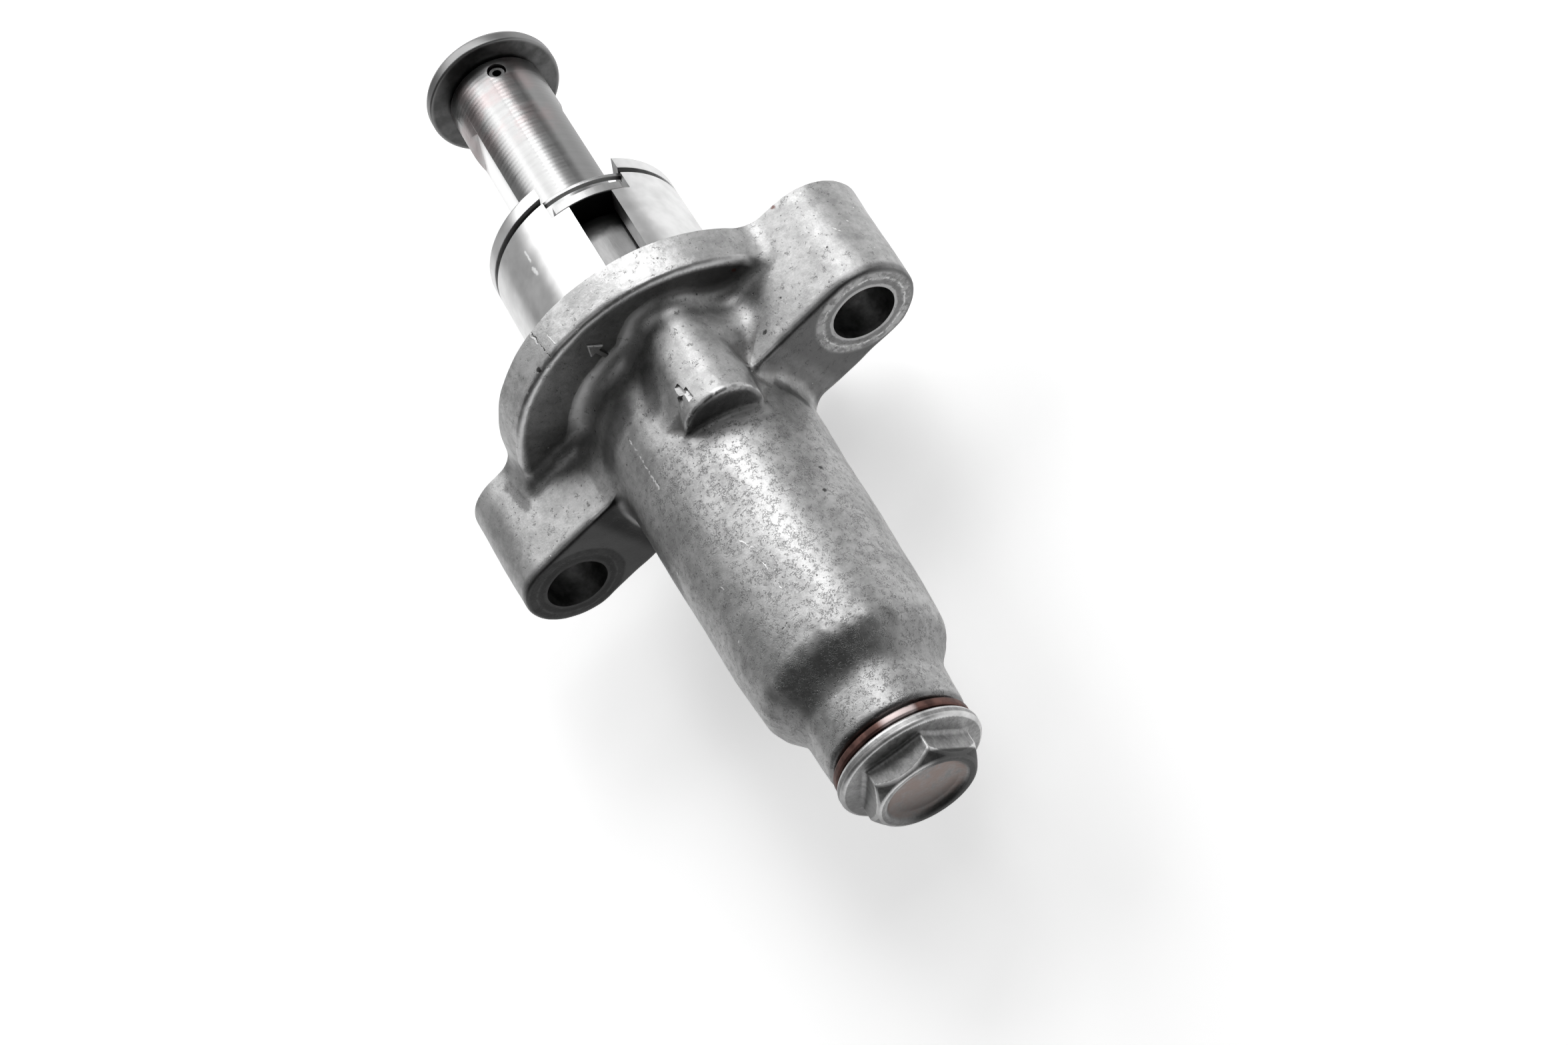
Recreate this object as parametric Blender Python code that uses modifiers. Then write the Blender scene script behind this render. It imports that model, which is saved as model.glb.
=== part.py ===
"""Screw-type timing chain tensioner, at its real size in metres, +Z up.

The tensioner's axis lies along world Y: the plunger comes out towards +Y and the sealing bolt
closes the -Y end. The origin is the centre of the flange's mounting face. Every piece is
modelled standing along its own Z and hangs under one empty that lays Z over on to world Y.
Angles round the axis are counted from world +X, the right-hand ear, towards world +Z, the side
that faces up on the engine.
"""

import math

import bmesh
import bpy
from mathutils import Matrix

MM = 0.001

# Clearances
SEAT_GAP = 0.25 * MM
SIDE_GAP = 0.3 * MM
THREAD_GAP = 0.25 * MM

# Edges broken by machining, on the case, on turned pieces and on thin ones
CASE_CHAMFER = 0.35 * MM
EDGE_BREAK = 0.3 * MM
THIN_BREAK = 0.12 * MM

# Case: spigot that plugs into the engine
SPIGOT_R = 10.76 * MM
SPIGOT_LIP = 1.68 * MM
BORE_R = 8.1 * MM
BORE_FLOOR = -40.9 * MM

# Case: flange and its two ears
FLANGE_R = 17.8 * MM
FLANGE_THICKNESS = 3.95 * MM
FLANGE_EDGE = 0.5 * MM
FLANGE_DRAFT = 0.4 * MM
FLANGE_FILLET = 1.9 * MM
EAR_PITCH = 40.0 * MM
EAR_R = 5.95 * MM
EAR_DEPTH = 12.4 * MM
EAR_DRAFT = 0.4 * MM
EAR_EDGE = 0.45 * MM
EAR_FILLET = 1.8 * MM
BOLT_HOLE_R = 3.28 * MM

# Case: tapered barrel, shoulder and neck
BARREL_ROOT_R = 10.42 * MM
BARREL_END_R = 9.6 * MM
BARREL_END = -42.1 * MM
BARREL_FILLET = 3.0 * MM
NECK_R = 7.12 * MM
NECK_TIP_R = 6.9 * MM
NECK_ROOT = -44.6 * MM
NECK_FILLET = 1.5 * MM
NECK_END = -49.7 * MM
BOLT_BORE_R = 3.2 * MM

# Case: slot for the spring's hook, and the boss that covers it
SLOT_ANGLE = 56.0
SLOT_WIDTH = 4.66 * MM
SLOT_R = 11.4 * MM
SLOT_FLOOR = -13.4 * MM
BOSS_R = 4.35 * MM
BOSS_OFFSET = 10.1 * MM
BOSS_END = -16.2 * MM
BOSS_EDGE = 0.7 * MM

# Guide plate, its two lugs and the snap ring above it
LUG_FLOOR = 14.85 * MM
LUG_WIDTH = 7.35 * MM
LUG_R = 10.5 * MM
PLATE_THICKNESS = 1.2 * MM
RING_OUTER_R = 10.15 * MM
RING_INNER_R = 9.6 * MM
RING_THICKNESS = 0.5 * MM
RING_LIFT = 1.05 * MM
RING_PLAY = 0.12 * MM
RING_OPENING = 5.0 * MM
RING_OPENING_ANGLE = -80.0

# Plunger with its two flats
PLUNGER_R = 5.5 * MM
PLUNGER_BOTTOM = -14.0 * MM
PLUNGER_TOP = 43.6 * MM
PLUNGER_BORE_R = 3.95 * MM
FLAT_DISTANCE = 4.7 * MM
FLAT_END = 36.5 * MM
FLAT_RUNOUT = 1.4 * MM
NUT_LENGTH = 12.0 * MM

# Plunger head and the pin that holds it
HEAD_R = 7.66 * MM
HEAD_RIM = 1.15 * MM
HEAD_CROWN = 1.8 * MM
STEM_LENGTH = 5.3 * MM
PIN_ANGLE = 54.8
PIN_HOLE_R = 1.05 * MM
PIN_R = 0.85 * MM
PIN_WALL = 0.35 * MM
PIN_DEPTH = 1.9 * MM
PIN_RECESS = 0.4 * MM

# Two-start screw thread between spindle and plunger
THREAD_R = 3.6 * MM
THREAD_DEPTH = 0.75 * MM
THREAD_LEAD = 6.0 * MM
THREAD_STARTS = 2
THREAD_CREST = 0.8 * MM
THREAD_FLANK = 0.4 * MM
THREAD_TOP = 5.0 * MM
THREAD_RELIEF = 0.6 * MM
THREAD_PHASE = 4.0

# Spindle's foot
FOOT_R = 7.4 * MM
FOOT_THICKNESS = 2.0 * MM
COLLAR_R = 5.0 * MM
COLLAR_HEIGHT = 1.7 * MM
DRIVER_SLOT = 1.2 * MM
DRIVER_DEPTH = 1.0 * MM

# Seat plate under the spindle
SEAT_PLATE_R = 7.7 * MM
SEAT_PLATE_HOLE_R = 3.6 * MM
SEAT_PLATE_THICKNESS = 0.8 * MM

# Torsion spring
WIRE_R = 0.6 * MM
COIL_R = 6.9 * MM
COIL_TURNS = 12
HOOK_R = 10.4 * MM
LEG_R = 3.6 * MM
HOOK_HEIGHT = -12.3 * MM
HOOK_BEND = 1.3 * MM

# Sealing bolt and its washer
WASHER_R = 6.9 * MM
WASHER_THICKNESS = 0.85 * MM
BOLT_R = 2.9 * MM
BOLT_LENGTH = 7.0 * MM
BOLT_FLANGE_R = 7.13 * MM
BOLT_FLANGE_RIM = 0.85 * MM
BOLT_FLANGE_CONE = 0.45 * MM
HEX_ACROSS_FLATS = 10.0 * MM
HEX_ANGLE = 50.0
HEX_HEIGHT = 4.0 * MM
HEX_CHAMFER = 1.35 * MM
HEX_RIM_R = 4.6 * MM
DISH_R = 3.95 * MM
DISH_DEPTH = 0.6 * MM

# Fineness of the round shapes
ROUND_STEPS = 48
SMALL_STEPS = 32
PIN_STEPS = 16
CROWN_STEPS = 6
THREAD_STEPS = 16
COIL_STEPS = 16
ARC_STEP = math.radians(24)
OVERCUT = 1.0 * MM
SINK = 0.3 * MM
WELD = 0.001 * MM

# Heights that follow from the stack of pieces along the axis
LUG_NOTCH_WIDTH = LUG_WIDTH + 2 * SIDE_GAP
PLATE_BOTTOM = LUG_FLOOR + SEAT_GAP
PLATE_TOP = PLATE_BOTTOM + PLATE_THICKNESS
RING_BOTTOM = PLATE_TOP + RING_LIFT
RING_TOP = RING_BOTTOM + RING_THICKNESS
SPIGOT_TOP = RING_TOP + RING_PLAY + SPIGOT_LIP
SEAT_PLATE_BOTTOM = BORE_FLOOR + SEAT_GAP
SEAT_PLATE_TOP = SEAT_PLATE_BOTTOM + SEAT_PLATE_THICKNESS
FOOT_BOTTOM = SEAT_PLATE_TOP + SEAT_GAP
FOOT_TOP = FOOT_BOTTOM + FOOT_THICKNESS
COLLAR_TOP = FOOT_TOP + COLLAR_HEIGHT
LEG_HEIGHT = FOOT_TOP + SEAT_GAP + WIRE_R
SLEEVE_BOTTOM = HOOK_HEIGHT + WIRE_R + SEAT_GAP
SLEEVE_TOP = PLATE_BOTTOM - SEAT_GAP
SLEEVE_R = BORE_R - SIDE_GAP
SLEEVE_BORE_R = PLUNGER_R + SIDE_GAP
THREAD_ROOT_R = THREAD_R - THREAD_DEPTH
THREAD_BASE = COLLAR_TOP + THREAD_RELIEF / 2
HEAD_UNDERSIDE = PLUNGER_TOP + SEAT_GAP
PIN_HEIGHT = PLUNGER_TOP - PIN_DEPTH
WASHER_TOP = NECK_END - SEAT_GAP
BOLT_SEAT = WASHER_TOP - WASHER_THICKNESS - SEAT_GAP
HEX_CORNER_R = HEX_ACROSS_FLATS / 2 / math.cos(math.pi / 6)

scene = bpy.context.scene


def clear_scene():
    for old in list(bpy.data.objects):
        bpy.data.objects.remove(old, do_unlink=True)


def new_collection(name):
    collection = bpy.data.collections.new(name)
    scene.collection.children.link(collection)
    return collection


clear_scene()
PARTS = new_collection("timing_chain_tensioner")
CUTTERS = new_collection("cutters")


def new_axis(name, parent=None, height=0.0, angle=0.0):
    """An empty on the tensioner's axis, turned to an angle; its local X points outwards."""
    empty = bpy.data.objects.new(name, None)
    empty.empty_display_size = PLUNGER_R
    PARTS.objects.link(empty)
    empty.parent = parent
    empty.location = (0, 0, height)
    empty.rotation_euler = (0, 0, -math.radians(angle))
    return empty


AXIS = new_axis("tensioner_axis")
AXIS.rotation_euler = (-math.pi / 2, 0, 0)
SLOT_AXIS = new_axis("slot_axis", AXIS, angle=SLOT_ANGLE)


def metal(name, color, roughness, metallic=1.0):
    material = bpy.data.materials.new(name)
    material.use_nodes = True
    shader = material.node_tree.nodes["Principled BSDF"]
    shader.inputs["Base Color"].default_value = (*color, 1.0)
    shader.inputs["Roughness"].default_value = roughness
    shader.inputs["Metallic"].default_value = metallic
    return material


def add_object(name, data, material=None, parent=AXIS):
    """Links a piece with a material, or a cutter without one."""
    piece = bpy.data.objects.new(name, data)
    piece.parent = parent
    if material:
        PARTS.objects.link(piece)
        data.materials.append(material)
    else:
        CUTTERS.objects.link(piece)
        piece.hide_render = True
        piece.display_type = "WIRE"
    return piece


def rounded(corners):
    """Replaces each corner (r, h, fillet) of a profile by an arc; (r, h) stays sharp."""
    points = []
    for i, corner in enumerate(corners):
        if len(corner) == 2:
            points.append(corner)
            continue
        here = complex(*corner[:2])
        before = complex(*corners[i - 1][:2]) - here
        after = complex(*corners[(i + 1) % len(corners)][:2]) - here
        before /= abs(before)
        after /= abs(after)
        opening = math.acos(max(-1, min(1, (before * after.conjugate()).real)))
        reach = corner[2] / math.tan(opening / 2)
        start = here + before * reach
        bisector = before + after
        centre = here + bisector / abs(bisector) * corner[2] / math.sin(opening / 2)
        turn = math.pi - opening
        side = 1 if (before.conjugate() * after).imag < 0 else -1
        steps = max(1, math.ceil(turn / ARC_STEP))
        for step in range(steps + 1):
            angle = side * turn * step / steps
            spoke = (start - centre) * complex(math.cos(angle), math.sin(angle))
            points.append(((centre + spoke).real, (centre + spoke).imag))
    return points


def turned(name, corners, material=None, parent=AXIS, ring=False, steps=ROUND_STEPS):
    """A profile of (r, h) corners turned round Z; a ring's profile is a closed loop."""
    points = rounded(corners)
    mesh = bpy.data.meshes.new(name)
    edges = [(i, i + 1) for i in range(len(points) - 1)]
    if ring:
        edges.append((len(points) - 1, 0))
    mesh.from_pydata([(r, 0, h) for r, h in points], edges, [])
    piece = add_object(name, mesh, material, parent)
    screw = piece.modifiers.new("turn", "SCREW")
    screw.axis = "Z"
    screw.steps = screw.render_steps = steps
    screw.use_merge_vertices = True
    screw.merge_threshold = WELD
    screw.use_smooth_shade = True
    return piece


def turned_ring(name, inner, outer, low, high, chamfer, material, steps=ROUND_STEPS):
    """A plain washer or sleeve with its outer edges broken."""
    corners = [(inner, high), (outer - chamfer, high), (outer, high - chamfer)]
    corners += [(outer, low + chamfer), (outer - chamfer, low), (inner, low)]
    return turned(name, corners, material, ring=True, steps=steps)


def mesh_object(name, bm, material=None, parent=AXIS):
    mesh = bpy.data.meshes.new(name)
    bmesh.ops.recalc_face_normals(bm, faces=bm.faces)
    bm.to_mesh(mesh)
    bm.free()
    return add_object(name, mesh, material, parent)


def cylinder(name, radius, low, high, parent=AXIS, steps=ROUND_STEPS, centre=(0, 0)):
    bm = bmesh.new()
    place = Matrix.Translation((*centre, (low + high) / 2))
    bmesh.ops.create_cone(bm, cap_ends=True, segments=steps, radius1=radius, radius2=radius,
                          depth=high - low, matrix=place)
    return mesh_object(name, bm, parent=parent)


def block(name, x_range, y_range, z_range, parent=AXIS):
    bm = bmesh.new()
    spans = (x_range, y_range, z_range)
    centre = [(low + high) / 2 for low, high in spans]
    size = [high - low for low, high in spans]
    bmesh.ops.create_cube(bm, size=1, matrix=Matrix.Translation(centre) @ Matrix.Diagonal((*size, 1)))
    return mesh_object(name, bm, parent=parent)


def boolean(piece, operation, *tools):
    for tool in tools:
        modifier = piece.modifiers.new(tool.name, "BOOLEAN")
        modifier.operation = operation
        modifier.solver = "EXACT"
        modifier.object = tool
    return piece


def cut(piece, *tools):
    return boolean(piece, "DIFFERENCE", *tools)


def join(piece, *tools):
    return boolean(piece, "UNION", *tools)


def ear_bar():
    """Both ears as one drafted bar with round ends, from the mounting face to the seats."""
    bm = bmesh.new()
    for side in (-1, 1):
        place = Matrix.Translation((side * EAR_PITCH / 2, 0, -EAR_DEPTH / 2))
        bmesh.ops.create_cone(bm, cap_ends=False, segments=SMALL_STEPS, depth=EAR_DEPTH,
                              radius1=EAR_R - EAR_DRAFT, radius2=EAR_R, matrix=place)
    bmesh.ops.delete(bm, geom=list(bm.edges), context="EDGES_FACES")
    hull = bmesh.ops.convex_hull(bm, input=bm.verts)
    bmesh.ops.delete(bm, geom=hull["geom_interior"], context="VERTS")
    bmesh.ops.dissolve_limit(bm, angle_limit=math.radians(1), verts=bm.verts, edges=bm.edges)
    rim = [e for e in bm.edges if all(v.co.z < SINK - EAR_DEPTH for v in e.verts)]
    bmesh.ops.bevel(bm, geom=rim, offset=EAR_EDGE, segments=2, profile=0.5, affect="EDGES")
    return mesh_object("ear_bar", bm)


def corner_web(name, round_r, side_x, side_y, low, high):
    """The concave fillet between a round wall and the ear's flat side, in one quadrant."""
    reach = round_r + EAR_FILLET
    centre_y = EAR_R + EAR_FILLET
    centre_x = math.sqrt(reach ** 2 - centre_y ** 2)
    start = math.atan2(-centre_y, -centre_x)
    sweep = -math.pi / 2 - start
    outline = [(centre_x, EAR_R - SINK), (centre_x * round_r / reach - SINK * 2, EAR_R - SINK)]
    steps = math.ceil(abs(sweep) / ARC_STEP) + 1
    for step in range(steps + 1):
        angle = start + sweep * step / steps
        x = centre_x + EAR_FILLET * math.cos(angle)
        y = centre_y + EAR_FILLET * math.sin(angle)
        outline.append((x, y))
    bm = bmesh.new()
    face = bm.faces.new([bm.verts.new((side_x * x, side_y * y, low)) for x, y in outline])
    wall = bmesh.ops.extrude_face_region(bm, geom=[face])
    raised = [v for v in wall["geom"] if isinstance(v, bmesh.types.BMVert)]
    bmesh.ops.translate(bm, verts=raised, vec=(0, 0, high - low))
    return mesh_object(name, bm)


def case_webs():
    webs = []
    for side_x in (-1, 1):
        for side_y in (-1, 1):
            place = f"{'left' if side_x < 0 else 'right'}_{'upper' if side_y < 0 else 'lower'}"
            webs.append(corner_web(f"flange_web_{place}", FLANGE_R - FLANGE_DRAFT, side_x, side_y,
                                   -FLANGE_THICKNESS, 0))
            webs.append(corner_web(f"barrel_web_{place}", BARREL_ROOT_R - SINK, side_x, side_y,
                                   -EAR_DEPTH + EAR_EDGE, -FLANGE_THICKNESS / 2))
    return webs


def hook_boss():
    """The rounded boss on the barrel over the hook's slot."""
    bm = bmesh.new()
    top = -FLANGE_THICKNESS / 2
    place = Matrix.Translation((BOSS_OFFSET, 0, (top + BOSS_END) / 2))
    bmesh.ops.create_cone(bm, cap_ends=True, segments=SMALL_STEPS, radius1=BOSS_R, radius2=BOSS_R,
                          depth=top - BOSS_END, matrix=place)
    rim = [e for e in bm.edges if all(v.co.z < BOSS_END + OVERCUT for v in e.verts)]
    bmesh.ops.bevel(bm, geom=rim, offset=BOSS_EDGE, segments=2, profile=0.5, affect="EDGES")
    return mesh_object("hook_boss", bm, parent=SLOT_AXIS)


def make_case():
    groove_r = RING_INNER_R - SEAT_GAP
    groove_low = RING_BOTTOM - RING_PLAY
    groove_high = RING_TOP + RING_PLAY
    case = turned("case", [
        (BOLT_BORE_R, SPIGOT_TOP),
        (SPIGOT_R - CASE_CHAMFER, SPIGOT_TOP),
        (SPIGOT_R, SPIGOT_TOP - CASE_CHAMFER),
        (SPIGOT_R, groove_high),
        (groove_r, groove_high),
        (groove_r, groove_low),
        (SPIGOT_R, groove_low),
        (SPIGOT_R, 0),
        (FLANGE_R, 0),
        (FLANGE_R - FLANGE_DRAFT, -FLANGE_THICKNESS, FLANGE_EDGE),
        (BARREL_ROOT_R, -FLANGE_THICKNESS, FLANGE_FILLET),
        (BARREL_END_R, BARREL_END, BARREL_FILLET),
        (NECK_R, NECK_ROOT, NECK_FILLET),
        (NECK_TIP_R, NECK_END, CASE_CHAMFER),
        (BOLT_BORE_R, NECK_END),
    ], metal("cast_aluminium", (0.42, 0.42, 0.43), 0.5), ring=True)
    join(case, ear_bar(), hook_boss(), *case_webs())
    cut(case, cylinder("bore", BORE_R, BORE_FLOOR, SPIGOT_TOP + OVERCUT))
    inside = BORE_R / 2
    half_slot = SLOT_WIDTH / 2
    half_notch = LUG_NOTCH_WIDTH / 2
    reach = SPIGOT_R + OVERCUT
    cut(case,
        block("hook_slot", (inside, SLOT_R), (-half_slot, half_slot),
              (SLOT_FLOOR, LUG_FLOOR + OVERCUT), SLOT_AXIS),
        block("lug_notches", (-reach, reach), (-half_notch, half_notch),
              (LUG_FLOOR, SPIGOT_TOP + OVERCUT), SLOT_AXIS))
    for side, name in ((-1, "left_bolt_hole"), (1, "right_bolt_hole")):
        cut(case, cylinder(name, BOLT_HOLE_R, -EAR_DEPTH - OVERCUT, OVERCUT, steps=SMALL_STEPS,
                           centre=(side * EAR_PITCH / 2, 0)))
    return case


def make_guide_plate():
    steel = metal("plate_steel", (0.5, 0.5, 0.5), 0.35)
    bm = bmesh.new()
    lug_round = cylinder("lug_round", LUG_R, PLATE_BOTTOM, PLATE_TOP)
    plate_round = cylinder("plate_round", BORE_R - SIDE_GAP, PLATE_BOTTOM, PLATE_TOP)
    size = Matrix.Diagonal((2 * LUG_R + OVERCUT, LUG_WIDTH, PLATE_THICKNESS, 1))
    place = Matrix.Translation((0, 0, (PLATE_BOTTOM + PLATE_TOP) / 2))
    bmesh.ops.create_cube(bm, size=1, matrix=place @ size)
    plate = mesh_object("guide_plate", bm, steel, SLOT_AXIS)
    boolean(plate, "INTERSECT", lug_round)
    join(plate, plate_round)
    hole = cylinder("plate_hole", PLUNGER_R + SIDE_GAP, PLATE_BOTTOM - OVERCUT,
                    PLATE_TOP + OVERCUT)
    across = FLAT_DISTANCE + SIDE_GAP
    boolean(hole, "INTERSECT", block("plate_hole_flats", (-BORE_R, BORE_R), (-across, across),
                                     (PLATE_BOTTOM - 2 * OVERCUT, PLATE_TOP + 2 * OVERCUT), SLOT_AXIS))
    return cut(plate, hole)


def make_snap_ring():
    ring = turned_ring("snap_ring", RING_INNER_R, RING_OUTER_R, RING_BOTTOM, RING_TOP, THIN_BREAK,
                       metal("spring_steel", (0.55, 0.55, 0.56), 0.3))
    opening_axis = new_axis("ring_opening_axis", AXIS, angle=RING_OPENING_ANGLE)
    return cut(ring, block("ring_opening", (BORE_R, SPIGOT_R), (-RING_OPENING / 2, RING_OPENING / 2),
                           (RING_BOTTOM - OVERCUT, RING_TOP + OVERCUT), opening_axis))


def make_spacer_sleeve():
    return turned_ring("spacer_sleeve", SLEEVE_BORE_R, SLEEVE_R, SLEEVE_BOTTOM, SLEEVE_TOP,
                       EDGE_BREAK, metal("sleeve_steel", (0.45, 0.45, 0.46), 0.35), SMALL_STEPS)


def threaded_rod(name, gap, low, high):
    """The two-start right-hand thread as a solid rod with flat ends, grown by a gap.

    One lead of the profile is swept up a helix, then cut square at both ends and closed. The
    phase keeps its facets out of line with those of the pieces that it is joined to or cut from.
    """
    pitch = THREAD_LEAD / THREAD_STARTS
    crest = THREAD_CREST / 2 + gap
    foot = crest + THREAD_FLANK
    profile = []
    for start in range(THREAD_STARTS):
        centre = (start + 0.5) * pitch
        profile += [(THREAD_ROOT_R + gap, centre - foot), (THREAD_R + gap, centre - crest),
                    (THREAD_R + gap, centre + crest), (THREAD_ROOT_R + gap, centre + foot)]
    profile.append((profile[0][0], profile[0][1] + THREAD_LEAD))
    first_turn = math.floor((low - THREAD_BASE) / THREAD_LEAD) - 1
    mesh = bpy.data.meshes.new(name)
    mesh.from_pydata([(r, 0, h) for r, h in profile], [(i, i + 1) for i in range(len(profile) - 1)], [])
    sweep = add_object(name + "_sweep", mesh)
    screw = sweep.modifiers.new("thread", "SCREW")
    screw.axis = "Z"
    screw.steps = screw.render_steps = THREAD_STEPS
    screw.iterations = math.ceil((high - low) / THREAD_LEAD) + 3
    screw.screw_offset = THREAD_LEAD
    screw.use_merge_vertices = False
    evaluated = sweep.evaluated_get(bpy.context.evaluated_depsgraph_get())
    bm = bmesh.new()
    bm.from_mesh(evaluated.to_mesh())
    bpy.data.objects.remove(sweep)
    bmesh.ops.remove_doubles(bm, verts=bm.verts, dist=WELD)
    bmesh.ops.translate(bm, verts=bm.verts, vec=(0, 0, THREAD_BASE + first_turn * THREAD_LEAD))
    for height, outwards in ((low, -1), (high, 1)):
        bmesh.ops.bisect_plane(bm, geom=list(bm.verts) + list(bm.edges) + list(bm.faces),
                               plane_co=(0, 0, height), plane_no=(0, 0, outwards), clear_outer=True)
    ends = bmesh.ops.holes_fill(bm, edges=bm.edges, sides=0)
    bmesh.ops.triangulate(bm, faces=ends["faces"])
    rod = mesh_object(name, bm)
    rod.rotation_euler = (0, 0, math.radians(THREAD_PHASE))
    return rod


def make_spindle():
    steel = metal("spindle_steel", (0.4, 0.4, 0.4), 0.3)
    shank_r = THREAD_ROOT_R - THREAD_GAP
    spindle = turned("screw_spindle", [
        (0, THREAD_TOP - THREAD_LEAD),
        (shank_r, THREAD_TOP - THREAD_LEAD),
        (shank_r, COLLAR_TOP),
        (COLLAR_R, COLLAR_TOP),
        (COLLAR_R, FOOT_TOP),
        (FOOT_R, FOOT_TOP),
        (FOOT_R, FOOT_BOTTOM),
        (0, FOOT_BOTTOM),
    ], steel, steps=SMALL_STEPS)
    join(spindle, threaded_rod("spindle_thread", 0.0, COLLAR_TOP + THREAD_RELIEF, THREAD_TOP))
    half = WIRE_R + SIDE_GAP
    return cut(spindle,
               block("leg_slot", (LEG_R - WIRE_R - SIDE_GAP, COLLAR_R + OVERCUT), (-half, half),
                     (FOOT_TOP, COLLAR_TOP + OVERCUT), SLOT_AXIS),
               block("driver_slot", (-FOOT_R - OVERCUT, FOOT_R + OVERCUT),
                     (-DRIVER_SLOT / 2, DRIVER_SLOT / 2),
                     (FOOT_BOTTOM - OVERCUT, FOOT_BOTTOM + DRIVER_DEPTH)))


def flat_cutter(side):
    """Takes one flat off the plunger and runs out at its top along a slope."""
    name = "plunger_flat_near" if side > 0 else "plunger_flat_far"
    deep, clear = sorted((side * FLAT_DISTANCE, side * (PLUNGER_R + OVERCUT)), key=abs)
    bm = bmesh.new()
    slope = FLAT_RUNOUT / (PLUNGER_R - FLAT_DISTANCE) * (PLUNGER_R + OVERCUT - FLAT_DISTANCE)
    outline = [(deep, PLUNGER_BOTTOM - OVERCUT), (clear, PLUNGER_BOTTOM - OVERCUT),
               (clear, FLAT_END + slope), (deep, FLAT_END)]
    face = bm.faces.new([bm.verts.new((-PLUNGER_R - OVERCUT, y, z)) for y, z in outline])
    wall = bmesh.ops.extrude_face_region(bm, geom=[face])
    moved = [v for v in wall["geom"] if isinstance(v, bmesh.types.BMVert)]
    bmesh.ops.translate(bm, verts=moved, vec=(2 * (PLUNGER_R + OVERCUT), 0, 0))
    return mesh_object(name, bm, parent=SLOT_AXIS)


def pin_cutter(name, half_length, parent):
    """A round tool across the axis, along the head pin's direction."""
    tool = cylinder(name, PIN_HOLE_R, -half_length, half_length, parent=parent, steps=PIN_STEPS)
    tool.rotation_euler = (0, math.pi / 2, 0)
    return tool


def make_plunger(carrier):
    steel = metal("ground_steel", (0.62, 0.6, 0.6), 0.25)
    nut_top = PLUNGER_BOTTOM + NUT_LENGTH
    pilot_r = THREAD_ROOT_R - THREAD_GAP
    plunger = turned("plunger", [
        (PLUNGER_BORE_R, PLUNGER_TOP),
        (PLUNGER_R - EDGE_BREAK, PLUNGER_TOP),
        (PLUNGER_R, PLUNGER_TOP - EDGE_BREAK),
        (PLUNGER_R, PLUNGER_BOTTOM + EDGE_BREAK),
        (PLUNGER_R - EDGE_BREAK, PLUNGER_BOTTOM),
        (pilot_r, PLUNGER_BOTTOM),
        (pilot_r, nut_top),
        (PLUNGER_BORE_R, nut_top),
    ], steel, carrier, ring=True, steps=SMALL_STEPS)
    cut(plunger, threaded_rod("nut_thread", THREAD_GAP, PLUNGER_BOTTOM - OVERCUT, nut_top + OVERCUT))
    pin_axis = new_axis("pin_axis", AXIS, PIN_HEIGHT, PIN_ANGLE)
    cut(plunger, flat_cutter(1), flat_cutter(-1),
        pin_cutter("plunger_pin_hole", PLUNGER_R + OVERCUT, pin_axis))
    return pin_axis


def make_plunger_head(carrier, pin_axis):
    stem_r = PLUNGER_BORE_R - SIDE_GAP
    rim_top = HEAD_UNDERSIDE + HEAD_RIM
    crown = [(HEAD_R * math.sin(turn), rim_top + HEAD_CROWN * math.cos(turn))
             for turn in (math.pi / 2 * step / CROWN_STEPS for step in range(CROWN_STEPS))]
    head = turned("plunger_head", crown + [
        (HEAD_R, rim_top, EDGE_BREAK),
        (HEAD_R, HEAD_UNDERSIDE, EDGE_BREAK),
        (stem_r, HEAD_UNDERSIDE),
        (stem_r, HEAD_UNDERSIDE - STEM_LENGTH + EDGE_BREAK),
        (stem_r - EDGE_BREAK, HEAD_UNDERSIDE - STEM_LENGTH),
        (0, HEAD_UNDERSIDE - STEM_LENGTH),
    ], metal("blackened_steel", (0.16, 0.16, 0.16), 0.4), carrier, steps=SMALL_STEPS)
    cut(head, pin_cutter("stem_pin_hole", PLUNGER_R, pin_axis))


def make_head_pin(carrier, pin_axis):
    """A rolled spring pin, slit along its length, a little below the plunger's surface."""
    half = PLUNGER_R - PIN_RECESS
    pin = turned("head_pin", [(PIN_R - PIN_WALL, half), (PIN_R, half), (PIN_R, -half),
                              (PIN_R - PIN_WALL, -half)],
                 metal("pin_steel", (0.3, 0.3, 0.3), 0.4), pin_axis, ring=True, steps=PIN_STEPS)
    pin.rotation_euler = (0, math.pi / 2, 0)
    slit = block("pin_slit", (0, PIN_R + PIN_WALL), (-PIN_WALL / 2, PIN_WALL / 2),
                 (-half - OVERCUT, half + OVERCUT), pin_axis)
    slit.rotation_euler = pin.rotation_euler
    cut(pin, slit)


def spring_path():
    """Leg in the spindle's collar, coil, and hook out into the case's slot, as points."""
    slot = math.radians(SLOT_ANGLE)
    points = [(LEG_R, slot, LEG_HEIGHT), (COIL_R - HOOK_BEND, slot, LEG_HEIGHT)]
    total = COIL_TURNS * COIL_STEPS
    rise = HOOK_HEIGHT - LEG_HEIGHT
    lead_in = HOOK_BEND / COIL_R
    for step in range(total + 1):
        share = step / total
        angle = slot + lead_in + (2 * math.pi * COIL_TURNS - 2 * lead_in) * share
        points.append((COIL_R, angle, LEG_HEIGHT + rise * share))
    points += [(COIL_R + HOOK_BEND, slot, HOOK_HEIGHT), (HOOK_R, slot, HOOK_HEIGHT)]
    return [(r * math.cos(a), -r * math.sin(a), h) for r, a, h in points]


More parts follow.
